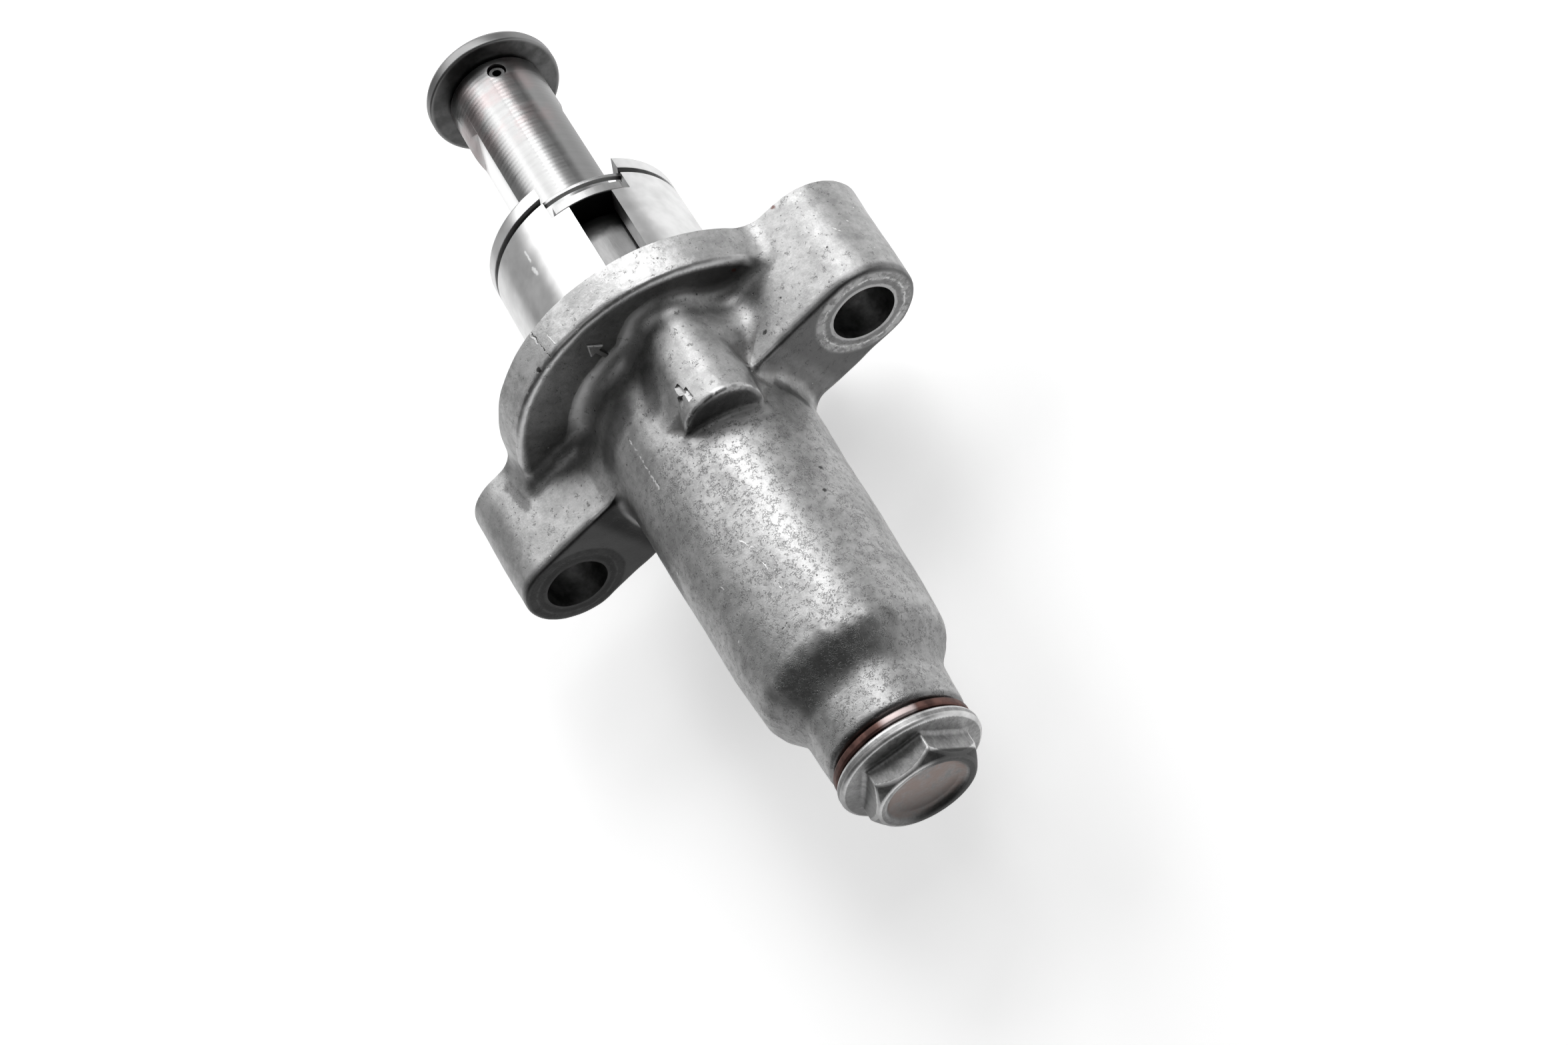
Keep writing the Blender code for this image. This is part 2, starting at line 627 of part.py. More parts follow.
def make_torsion_spring():
    curve = bpy.data.curves.new("torsion_spring", "CURVE")
    curve.dimensions = "3D"
    curve.bevel_depth = WIRE_R
    curve.bevel_resolution = 2
    curve.use_fill_caps = True
    path = spring_path()
    spline = curve.splines.new("POLY")
    spline.points.add(len(path) - 1)
    for point, place in zip(spline.points, path):
        point.co = (*place, 1.0)
    return add_object("torsion_spring", curve, metal("spring_wire", (0.35, 0.35, 0.36), 0.35))


def make_seal_bolt():
    """Flanged M6 hexagon bolt with a dished end, head down."""
    rim_low = BOLT_SEAT - BOLT_FLANGE_RIM
    cone_low = rim_low - BOLT_FLANGE_CONE
    head_end = BOLT_SEAT - HEX_HEIGHT
    bolt = turned("seal_bolt", [
        (0, BOLT_SEAT + BOLT_LENGTH),
        (BOLT_R - 2 * EDGE_BREAK, BOLT_SEAT + BOLT_LENGTH),
        (BOLT_R, BOLT_SEAT + BOLT_LENGTH - 2 * EDGE_BREAK),
        (BOLT_R, BOLT_SEAT),
        (BOLT_FLANGE_R, BOLT_SEAT, EDGE_BREAK),
        (BOLT_FLANGE_R, rim_low, EDGE_BREAK),
        (DISH_R, cone_low),
        (0, cone_low),
    ], metal("zinc_steel", (0.45, 0.44, 0.43), 0.45))
    bm = bmesh.new()
    place = Matrix.Translation((0, 0, (rim_low + head_end) / 2))
    turn = Matrix.Rotation(math.pi / 2 - math.radians(HEX_ANGLE), 4, "Z")
    bmesh.ops.create_cone(bm, cap_ends=True, segments=6, radius1=HEX_CORNER_R, radius2=HEX_CORNER_R,
                          depth=rim_low - head_end, matrix=place @ turn)
    hexagon = mesh_object("bolt_hexagon", bm)
    slant = (HEX_CORNER_R - HEX_RIM_R) / HEX_CHAMFER * OVERCUT
    boolean(hexagon, "INTERSECT", turned("hexagon_chamfer", [
        (0, BOLT_SEAT),
        (HEX_CORNER_R + slant, BOLT_SEAT),
        (HEX_CORNER_R + slant, head_end + HEX_CHAMFER + OVERCUT),
        (HEX_RIM_R - slant, head_end - OVERCUT),
        (0, head_end - OVERCUT),
    ]))
    join(bolt, hexagon)
    return cut(bolt, turned("bolt_dish", [
        (0, head_end + DISH_DEPTH),
        (DISH_R - DISH_DEPTH, head_end + DISH_DEPTH),
        (DISH_R, head_end),
        (DISH_R, head_end - OVERCUT),
        (0, head_end - OVERCUT),
    ], steps=SMALL_STEPS))


def make_tensioner():
    carrier = new_axis("plunger_carrier", AXIS)
    make_case()
    make_guide_plate()
    make_snap_ring()
    make_spacer_sleeve()
    make_torsion_spring()
    make_spindle()
    turned_ring("seat_plate", SEAT_PLATE_HOLE_R, SEAT_PLATE_R, SEAT_PLATE_BOTTOM, SEAT_PLATE_TOP,
                THIN_BREAK, metal("seat_steel", (0.45, 0.45, 0.45), 0.35), SMALL_STEPS)
    pin_axis = make_plunger(carrier)
    make_plunger_head(carrier, pin_axis)
    make_head_pin(carrier, pin_axis)
    turned_ring("seal_washer", BOLT_BORE_R + THIN_BREAK, WASHER_R, WASHER_TOP - WASHER_THICKNESS,
                WASHER_TOP, THIN_BREAK, metal("copper", (0.42, 0.25, 0.2), 0.5))
    make_seal_bolt()


make_tensioner()
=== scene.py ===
"""Looks of the timing chain tensioner: fine shapes, finishes, wear, light and camera.

Sizes here are in millimetres until a mesh is made, which turns them into metres. The tensioner's
axis is world Y: a turned profile gives (radius, y), and an angle round the axis is counted in
degrees from +X, the right-hand ear, towards +Z, the side that faces up on the engine.
"""
import itertools
import math

import bmesh
import bpy
import numpy as np
from mathutils import Euler, Matrix, Vector


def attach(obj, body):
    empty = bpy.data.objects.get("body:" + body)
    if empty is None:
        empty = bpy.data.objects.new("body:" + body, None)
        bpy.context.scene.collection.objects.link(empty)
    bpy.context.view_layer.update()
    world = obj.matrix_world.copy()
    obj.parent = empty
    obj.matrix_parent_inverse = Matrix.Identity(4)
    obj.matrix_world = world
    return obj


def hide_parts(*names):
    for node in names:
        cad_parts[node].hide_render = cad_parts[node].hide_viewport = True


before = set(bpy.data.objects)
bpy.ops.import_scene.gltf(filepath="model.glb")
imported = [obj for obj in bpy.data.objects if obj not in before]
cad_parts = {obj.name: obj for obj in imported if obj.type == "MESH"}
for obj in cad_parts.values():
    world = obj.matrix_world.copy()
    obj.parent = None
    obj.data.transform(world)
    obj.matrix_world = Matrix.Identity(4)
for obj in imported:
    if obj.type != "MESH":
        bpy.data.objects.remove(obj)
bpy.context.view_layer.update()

MM = 0.001

# Case, as in the part's source; only the notch and the boss are fitted to the photograph
FLANGE_R = 17.8
FLANGE_UNDERSIDE = -3.95
FLANGE_DRAFT = 0.4
EAR_X = 20.0
EAR_R = 5.95
EAR_SEAT = -12.4
EAR_DRAFT = 0.4
BOLT_HOLE_R = 3.28
SPIGOT_R = 10.76
SPIGOT_TOP = 19.65
GROOVE_LOW = 17.23
GROOVE_HIGH = 17.97
GROOVE_R = 9.35
BORE_R = 8.1
BORE_FLOOR = -40.9
NECK_END = -49.7
SLOT_ANGLE = 56.0
SLOT_WIDTH = 4.66
SLOT_R = 11.4
SLOT_FLOOR = -13.4
NOTCH_WIDTH = 8.6
NOTCH_FLOOR = 14.85
BOSS_R = 4.05
BOSS_OFFSET = 9.6
BOSS_END = -16.1

# The other pieces, as in the part's source; only the bolt's chamfer, dish and rim are fitted
PLAY = 0.3
PLATE_LOW = 15.1
PLATE_HIGH = 16.3
LUG_R = 10.5
LUG_HALF = 3.675
PLATE_R = 7.8
RING_LOW = 17.35
RING_HIGH = 17.85
RING_INNER_R = 9.6
RING_OUTER_R = 10.15
RING_OPENING = -80.0
RING_HALF_GAP = 2.5
SLEEVE_LOW = -11.45
SLEEVE_TOP = 14.85
PLUNGER_R = 5.5
PLUNGER_BORE_R = 3.95
PLUNGER_LOW = -14.0
PLUNGER_TOP = 43.6
FLAT_DISTANCE = 4.7
FLAT_END = 36.5
FLAT_RUNOUT = 1.4
NUT_R = 2.6
NUT_LENGTH = 12.0
HEAD_R = 7.66
HEAD_LOW = 43.85
HEAD_RIM = 1.15
CROWN_HEIGHT = 1.8
STEM_R = 3.65
STEM_LENGTH = 5.3
PIN_ANGLE = 54.8
PIN_Y = 41.7
PIN_HOLE_R = 1.05
PIN_R = 0.85
PIN_BORE_R = 0.5
WASHER_R = 6.9
WASHER_BORE_R = 3.32
WASHER_HIGH = -49.95
WASHER_LOW = -50.8
BOLT_SEAT = -51.05
BOLT_END = -55.05
BOLT_FLANGE_R = 7.13
BOLT_FLANGE_RIM = 1.1
HEX_HALF = 5.0
HEX_CHAMFER_R = 4.85
DISH_R = 4.2
DISH_DEPTH = 0.6
SHANK_R = 2.9
SHANK_LENGTH = 7.0

# Mesh: steps round a turned piece, and cells and corners of the boxes that are meshed
ROUND_STEPS = 180
CASTING_CELL = 0.32
CASTING_BOX = (-26.6, -50.4, -18.6), (26.6, 1.4, 18.6)
BOLT_CELL = 0.16
BOLT_BOX = (-7.5, BOLT_END - 0.4, -7.5), (7.5, BOLT_SEAT + 0.4, 7.5)


# Shapes that are turned round the tensioner's axis

def rounded(corners, arc_step=8.0):
    """Replaces each corner (r, y, fillet) of a profile by an arc; (r, y) stays sharp."""
    points = []
    for i, corner in enumerate(corners):
        if len(corner) == 2:
            points.append(corner)
            continue
        here = complex(*corner[:2])
        before = complex(*corners[i - 1][:2]) - here
        after = complex(*corners[(i + 1) % len(corners)][:2]) - here
        before /= abs(before)
        after /= abs(after)
        opening = math.acos(max(-1, min(1, (before * after.conjugate()).real)))
        start = here + before * corner[2] / math.tan(opening / 2)
        centre = here + (before + after) / abs(before + after) * corner[2] / math.sin(opening / 2)
        side = 1 if (before.conjugate() * after).imag < 0 else -1
        turn = math.pi - opening
        steps = max(2, math.ceil(math.degrees(turn) / arc_step))
        for step in range(steps + 1):
            spin = side * turn * step / steps
            spoke = (start - centre) * complex(math.cos(spin), math.sin(spin))
            points.append(((centre + spoke).real, (centre + spoke).imag))
    return points


def new_piece(name, points, faces):
    """An object from points in millimetres, welded and with its faces turned outwards."""
    mesh = bpy.data.meshes.new(name)
    mesh.from_pydata([Vector(p) * MM for p in points], [], [tuple(f) for f in faces])
    piece = bpy.data.objects.new(name, mesh)
    bpy.context.scene.collection.objects.link(piece)
    return clean(piece)


def clean(piece, weld=0.001):
    """Welds double points and turns all faces outwards."""
    bm = bmesh.new()
    bm.from_mesh(piece.data)
    bmesh.ops.remove_doubles(bm, verts=bm.verts, dist=weld * MM)
    bmesh.ops.recalc_face_normals(bm, faces=bm.faces)
    bm.to_mesh(piece.data)
    bm.free()
    return piece


def soften(piece, angle=32):
    """Shades a piece smooth and keeps its edges over that angle sharp."""
    piece.data.shade_smooth()
    piece.data.set_sharp_from_angle(angle=math.radians(angle))
    return piece


def turned(name, corners, steps=ROUND_STEPS, start=0.0, sweep=360.0):
    """A closed profile of (r, y) corners turned round Y, all the way or through an arc."""
    profile = rounded(corners)
    count = len(profile)
    whole = sweep == 360.0
    stations = steps if whole else steps + 1
    points = []
    for station in range(stations):
        angle = math.radians(start + sweep * station / steps)
        points += [(r * math.cos(angle), y, r * math.sin(angle)) for r, y in profile]
    faces = []
    for station in range(steps):
        here, there = station * count, (station + 1) % stations * count
        faces += [(here + i, there + i, there + (i + 1) % count, here + (i + 1) % count)
                  for i in range(count)]
    if not whole:
        faces += [range(count), range((stations - 1) * count, stations * count)]
    return new_piece(name, points, faces)


# The six sides of eight corners that are counted with the last range quickest
BLOCK_FACES = [(0, 1, 3, 2), (4, 5, 7, 6), (0, 1, 5, 4), (2, 3, 7, 6), (0, 2, 6, 4), (1, 3, 7, 5)]


def block(name, angle, radial, across, along):
    """A box set out from the axis at an angle: ranges outwards, sideways and along Y."""
    out = Vector((math.cos(math.radians(angle)), 0, math.sin(math.radians(angle))))
    side = Vector((-out.z, 0, out.x))
    points = [out * r + side * s + Vector((0, y, 0)) for r in radial for s in across for y in along]
    return new_piece(name, points, BLOCK_FACES)


def cylinder(name, radius, low, high, centre=(0, 0), steps=96):
    """A solid rod along Y, its centre given as (x, z)."""
    piece = turned(name, [(0, low), (radius, low), (radius, high), (0, high)], steps)
    piece.data.transform(Matrix.Translation((centre[0] * MM, 0, centre[1] * MM)))
    return piece


def combine(piece, tool, operation="DIFFERENCE"):
    """Joins or cuts a piece with a tool, which is used up."""
    modifier = piece.modifiers.new("tool", "BOOLEAN")
    modifier.operation = operation
    modifier.solver = "EXACT"
    modifier.object = tool
    evaluated = piece.evaluated_get(bpy.context.evaluated_depsgraph_get())
    mesh = bpy.data.meshes.new_from_object(evaluated)
    piece.modifiers.clear()
    piece.data = mesh
    bpy.data.objects.remove(tool)
    return piece


# Cast and forged shapes: distance fields with true fillets, meshed as even quads

def joined(a, b, fillet):
    """Two distance fields as one solid, with a fillet of that radius in the corner."""
    return np.maximum(fillet, np.minimum(a, b)) - np.hypot(np.maximum(fillet - a, 0),
                                                           np.maximum(fillet - b, 0))


def common(a, b, edge):
    """What two distance fields share, with the edge rounded to that radius."""
    return np.minimum(-edge, np.maximum(a, b)) + np.hypot(np.maximum(edge + a, 0),
                                                          np.maximum(edge + b, 0))


def profile_distance(r, y, profile):
    """Signed distance to a closed profile, negative inside."""
    nearest = np.full(r.shape, np.inf)
    inside = np.zeros(r.shape, bool)
    for (r0, y0), (r1, y1) in zip(profile, profile[1:] + profile[:1]):
        dr, dy = r1 - r0, y1 - y0
        share = np.clip(((r - r0) * dr + (y - y0) * dy) / (dr * dr + dy * dy), 0, 1)
        nearest = np.minimum(nearest, (r - r0 - share * dr) ** 2 + (y - y0 - share * dy) ** 2)
        if dy:
            inside ^= ((y0 > y) != (y1 > y)) & (r < dr * (y - y0) / dy + r0)
    return np.where(inside, -1, 1) * np.sqrt(nearest)


def slope(field, points, reach=0.02):
    """The field's gradient at points, by central differences."""
    gradient = np.empty_like(points)
    for axis in range(3):
        step = np.zeros(3)
        step[axis] = reach
        gradient[:, axis] = field(*(points + step).T) - field(*(points - step).T)
    return gradient / (2 * reach)


def net(name, coarse, field, low, high, cell, rounds=4):
    """Meshes a field's zero surface: a point in each cell it crosses, evened and set on it."""
    axes = [np.arange(a, b + cell, cell) for a, b in zip(low, high)]
    inside = coarse(*np.meshgrid(*axes, indexing="ij")) < 0
    size = np.array(inside.shape) - 1
    count = sum(inside[i:size[0] + i, j:size[1] + j, k:size[2] + k].astype(np.int8)
                for i in (0, 1) for j in (0, 1) for k in (0, 1))
    crossed = (count > 0) & (count < 8)
    number = np.full(crossed.shape, -1)
    number[crossed] = np.arange(crossed.sum())
    points = (np.argwhere(crossed) + 0.5) * cell + np.array(low)
    quads = []
    for axis in range(3):
        nodes, cells = np.moveaxis(inside, axis, 0), np.moveaxis(number, axis, 0)
        i, j, k = np.nonzero(nodes[1:, 1:-1, 1:-1] != nodes[:-1, 1:-1, 1:-1])
        quads.append(np.stack([cells[i, j, k], cells[i, j + 1, k], cells[i, j + 1, k + 1],
                               cells[i, j, k + 1]], 1))
    quads = np.vstack(quads)
    pairs = np.vstack([quads[:, [a, (a + 1) % 4]] for a in range(4)])
    pairs = np.unique(np.sort(pairs, axis=1), axis=0)
    degree = np.bincount(pairs.ravel(), minlength=len(points))[:, None]
    for _ in range(rounds):
        total = np.zeros_like(points)
        np.add.at(total, pairs[:, 0], points[pairs[:, 1]])
        np.add.at(total, pairs[:, 1], points[pairs[:, 0]])
        points = (points + total / degree) / 2
        for _ in range(2):
            gradient = slope(field, points)
            length = np.maximum((gradient ** 2).sum(1), 0.2)
            step = np.clip(field(*points.T) / length, -cell, cell)
            points = points - gradient * step[:, None]
    return new_piece(name, points, quads.tolist())


# Case

# The case's outside as it is turned; its shoulder follows the photograph
CASE_PROFILE = rounded([
    (0, 1.5),
    (FLANGE_R, 1.5),
    (FLANGE_R, 0),
    (FLANGE_R - FLANGE_DRAFT, FLANGE_UNDERSIDE, 0.65),
    (10.42, FLANGE_UNDERSIDE, 1.9),
    (9.74, -35.5, 9.0),
    (9.35, -41.6, 3.0),
    (7.12, -44.6, 3.2),
    (6.9, NECK_END, 0.7),
    (0, NECK_END),
], arc_step=3.0)
TABLE_STEP = 0.15
table_r = np.arange(0, 32, TABLE_STEP)
table_y = np.arange(-54, 4, TABLE_STEP)
CASE_TABLE = profile_distance(*np.meshgrid(table_r, table_y, indexing="ij"), CASE_PROFILE)


def case_profile_roughly(r, y):
    """The case profile's distance from a table, for finding the cells that the surface crosses."""
    u = np.clip(r / TABLE_STEP, 0, len(table_r) - 1.001)
    v = np.clip((y - table_y[0]) / TABLE_STEP, 0, len(table_y) - 1.001)
    i, j = u.astype(int), v.astype(int)
    u, v = u - i, v - j
    low = CASE_TABLE[i, j] * (1 - u) + CASE_TABLE[i + 1, j] * u
    high = CASE_TABLE[i, j + 1] * (1 - u) + CASE_TABLE[i + 1, j + 1] * u
    return low * (1 - v) + high * v


def casting(x, y, z, profile):
    """The whole casting before machining, from its turned profile's distance.

    The corner between an ear and the hook boss opens towards the flange (valley), and the boss's
    fillet on the barrel fades out at its lower end.
    """
    body = profile(np.hypot(x, z), y)
    ear_side = np.hypot(np.maximum(np.abs(x) - EAR_X, 0), z) - EAR_R - EAR_DRAFT * y / -EAR_SEAT
    slot = math.radians(SLOT_ANGLE)
    outwards = x * math.cos(slot) + z * math.sin(slot)
    sideways = z * math.cos(slot) - x * math.sin(slot)
    boss_side = np.hypot(outwards - BOSS_OFFSET, sideways) - BOSS_R
    height = np.clip((y + 12.2) / 4.5, 0, 1)
    valley = 0.5 + 4.0 * height ** 2 * (3 - 2 * height)
    ears = common(joined(ear_side, boss_side, valley), EAR_SEAT - y, 0.5)
    boss = common(boss_side, BOSS_END - y, 0.45)
    body_fillet = 0.35 + 1.45 * np.clip((y - BOSS_END) / 1.5 - 0.4, 0, 1)
    solid = joined(body, np.minimum(ears, boss), body_fillet)
    waves = np.sin(x * 0.9 + z * 0.5 + 1) * np.sin(y * 0.55 - z * 0.35) * 0.035
    ripples = np.sin(x * 1.9 - y * 1.3) * np.sin(z * 2.1 + y * 0.9 + 2) * 0.012
    dents = np.sin(x * 1.9 + z * 0.7) * np.sin(x * 0.8 - z * 2.3 + y * 1.1 + 1) * 0.06
    solid = solid + waves + ripples + dents * np.exp(-((y + 41.6) / 1.2) ** 2)
    for ball_x, ball_y, ball_z, radius in PRESSED_BALLS:
        ball = radius - np.sqrt((x - ball_x) ** 2 + (y - ball_y) ** 2 + (z - ball_z) ** 2)
        solid = np.maximum(solid, ball)
    return solid


# Dents of the mould at the flange's root and on the ear: a place and a radius
PRESSED_BALLS = [
    (-4.9, -7.9, 12.2, 1.9),
    (-3.4, -9.3, 12.2, 1.9),
    (-1.7, -10.6, 12.3, 1.9),
    (22.0, -0.1, 6.7, 1.1),
    (20.8, 0.1, 6.9, 1.1),
]


def casting_exactly(x, y, z):
    """The casting from its true profile, for setting points on the surface."""
    return casting(x, y, z, lambda r, h: profile_distance(r, h, CASE_PROFILE))


# The torn nick on the boss: each tear's place and turns in degrees
TEARS = [
    ((4.3, -13.0, 11.95), (8, 14, 12)),
    ((3.75, -14.0, 11.75), (-10, -22, -18)),
    ((4.8, -14.0, 12.1), (4, 30, 6)),
]
TEAR_SIDES = ((-0.34, 0.34), (-0.8, 0.64), (-0.3, 0.3))
TEAR_REACH = 1.6

# The raised arrow on the flange's underside: where it is along Z, and its height
ARROW_MIDDLE = 13.7
ARROW_REACH = 1.7
ARROW_HEIGHT = 0.3


def make_arrow():
    """A small raised arrow on the flange's underside that points to the side which faces up."""
    outline = [(-0.25, 12.1), (0.25, 12.1), (0.25, 13.7), (0.85, 13.7), (0, 15.2), (-0.85, 13.7),
               (-0.25, 13.7)]
    middle = 13.4
    levels = [(FLANGE_UNDERSIDE + ARROW_HEIGHT, 1.0), (FLANGE_UNDERSIDE - 0.18, 1.0),
              (FLANGE_UNDERSIDE - ARROW_HEIGHT, 0.84)]
    points = [(x * share, y, middle + (z - middle) * (share + 1) / 2)
              for y, share in levels for x, z in outline]
    count = len(outline)
    faces = [range(count), range(2 * count, 3 * count)]
    for level in (0, 1):
        for i in range(count):
            a, b = level * count + i, level * count + (i + 1) % count
            faces.append((a, b, b + count, a + count))
    return new_piece("arrow", points, faces)


def make_case():
    """The casting, machined: mounting face, spigot, bore, slot, notches, bolt holes and nick."""
    core = 6
    case = net("case_casting", lambda x, y, z: casting(x, y, z, case_profile_roughly),
               casting_exactly, *CASTING_BOX, CASTING_CELL)
    spigot = turned("spigot", [
        (core, -1),
        (SPIGOT_R, -1),
        (SPIGOT_R, GROOVE_LOW, 0.06),
        (GROOVE_R, GROOVE_LOW),
        (GROOVE_R, GROOVE_HIGH),
        (SPIGOT_R, GROOVE_HIGH, 0.06),
        (SPIGOT_R, SPIGOT_TOP, 0.3),
        (core, SPIGOT_TOP),
    ])
    combine(case, block("above_mounting_face", 0, (-40, 40), (-40, 40), (0, 5)))
    combine(case, spigot, "UNION")
    combine(case, make_arrow(), "UNION")
    bore = turned("bore", [(0, BORE_FLOOR), (BORE_R, BORE_FLOOR), (BORE_R, SPIGOT_TOP - 0.3),
                           (BORE_R + 0.5, SPIGOT_TOP + 0.2), (0, SPIGOT_TOP + 0.2)])
    half_slot, half_notch = SLOT_WIDTH / 2, NOTCH_WIDTH / 2
    combine(bore, block("hook_slot", SLOT_ANGLE, (4, SLOT_R), (-half_slot, half_slot),
                        (SLOT_FLOOR, NOTCH_FLOOR + 1)), "UNION")
    combine(bore, block("lug_notches", SLOT_ANGLE, (-12, 12), (-half_notch, half_notch),
                        (NOTCH_FLOOR, SPIGOT_TOP + 1)), "UNION")
    combine(case, bore)
    for side in (-1, 1):
        combine(case, cylinder("bolt_hole", BOLT_HOLE_R, EAR_SEAT - 2, 2, (side * EAR_X, 0)))
    for place, turns in TEARS:
        tear = new_piece("tear", itertools.product(*TEAR_SIDES), BLOCK_FACES)
        turn = Euler([math.radians(t) for t in turns]).to_matrix().to_4x4()
        tear.data.transform(Matrix.Translation(Vector(place) * MM) @ turn)
        combine(case, tear)
    return finish_case(case)


def places(items, name):
    """A vector of each of a mesh's vertices or faces, in millimetres."""
    values = np.empty(len(items) * 3)
    items.foreach_get(name, values)
    return values.reshape(-1, 3) / MM


def bending(field, points, reach):
    """How sharply a field's surface bends at points: above 0 on edges, below 0 in corners."""
    around = sum(field(*(points + np.eye(3)[a] * s * reach).T) for a in range(3) for s in (-1, 1))
    return (around - 6 * field(*points.T)) / reach ** 2


def store_bend(mesh, bend):
    """Keeps the bend of each point for the finishes: wear on edges, painted shade in corners and a
    painted highlight in the flange's root.
    """
    attribute = mesh.attributes.new("bend", "FLOAT", "POINT")
    attribute.data.foreach_set("value", bend.astype(np.float32))


def on_arrow(points, below, reach):
    """Which points are on the raised arrow, that far below the flange's underside."""
    near = (np.abs(points[:, 0]) < 1) & (np.abs(points[:, 2] - ARROW_MIDDLE) < ARROW_REACH)
    return near & (np.abs(points[:, 1] - FLANGE_UNDERSIDE + below) < reach)


# A face further than this from the cast surface is machined
OFF_CASTING = 0.05


def finish_case(case):
    """Marks which faces are cast and how sharply the cast surface bends at each point."""
    soften(case, 35)
    points = places(case.data.vertices, "co")
    bend = np.clip(bending(casting_exactly, points, 0.3), -2, 2)
    bend[np.abs(casting_exactly(*points.T)) >= OFF_CASTING] = 0
    bend[on_arrow(points, 0.25, 0.15)] = 1.1
    store_bend(case.data, bend)
    centres = places(case.data.polygons, "center")
    off = np.abs(casting_exactly(*centres.T))
    off[on_arrow(centres, 0, 0.4)] = 0
    machined = (off > OFF_CASTING) | (centres[:, 1] > -0.001)
    from_axis = np.hypot(centres[:, 0], centres[:, 2])
    from_hole = np.hypot(np.abs(centres[:, 0]) - EAR_X, centres[:, 2])
    inner = (from_hole < BOLT_HOLE_R + 0.02) | (from_axis < SPIGOT_R - 0.2)
    inner &= (off > OFF_CASTING) & ((centres[:, 1] < 0) | (from_axis < BORE_R + 0.05))
    for place, _ in TEARS:
        machined &= np.linalg.norm(centres - place, axis=1) > TEAR_REACH
    kind = np.where(inner, 2, machined.astype(int))
    case.data.polygons.foreach_set("material_index", kind.astype(np.int32))
    return case


# Shader maths

MIX_A, MIX_B, MIX_COLOR = 6, 7, 2


class Signal:
    """A shader output used in Python expressions: each operator adds its Math node."""

    def __init__(self, socket):
        self.socket = socket

    @classmethod
    def add(cls, tree, kind, settings=(), inputs=(), output=0):
        """Adds any node: its type, its settings, then the values or links of its sockets."""
        node = tree.nodes.new("ShaderNode" + kind)
        for name, value in dict(settings).items():
            setattr(node, name, value)
        for name, value in dict(inputs).items():
            if isinstance(value, Signal):
                tree.links.new(value.socket, node.inputs[name])
            else:
                node.inputs[name].default_value = value
        return cls(node.outputs[output])

    def output(self, name):
        """Another output of the same node."""
        return Signal(self.socket.node.outputs[name])

    def math(self, operation, *others):
        """This value and others through one Math node."""
        inputs = enumerate((self, *others))
        return self.add(self.socket.id_data, "Math", {"operation": operation}, inputs)

    def __add__(self, other):
        return self.math("ADD", other)

    def __sub__(self, other):
        return self.math("SUBTRACT", other)

    def __mul__(self, other):
        return self.math("MULTIPLY", other)

    def __rsub__(self, other):
        return (self * -1).math("ADD", other)

    __radd__ = __add__
    __rmul__ = __mul__

    def step(self, low, high):
        """0 below low and 1 above high, or the other way round if low is above high."""
        settings = {"interpolation_type": "SMOOTHSTEP"}
        inputs = {"Value": self, "From Min": low, "From Max": high}
        return self.add(self.socket.id_data, "MapRange", settings, inputs)


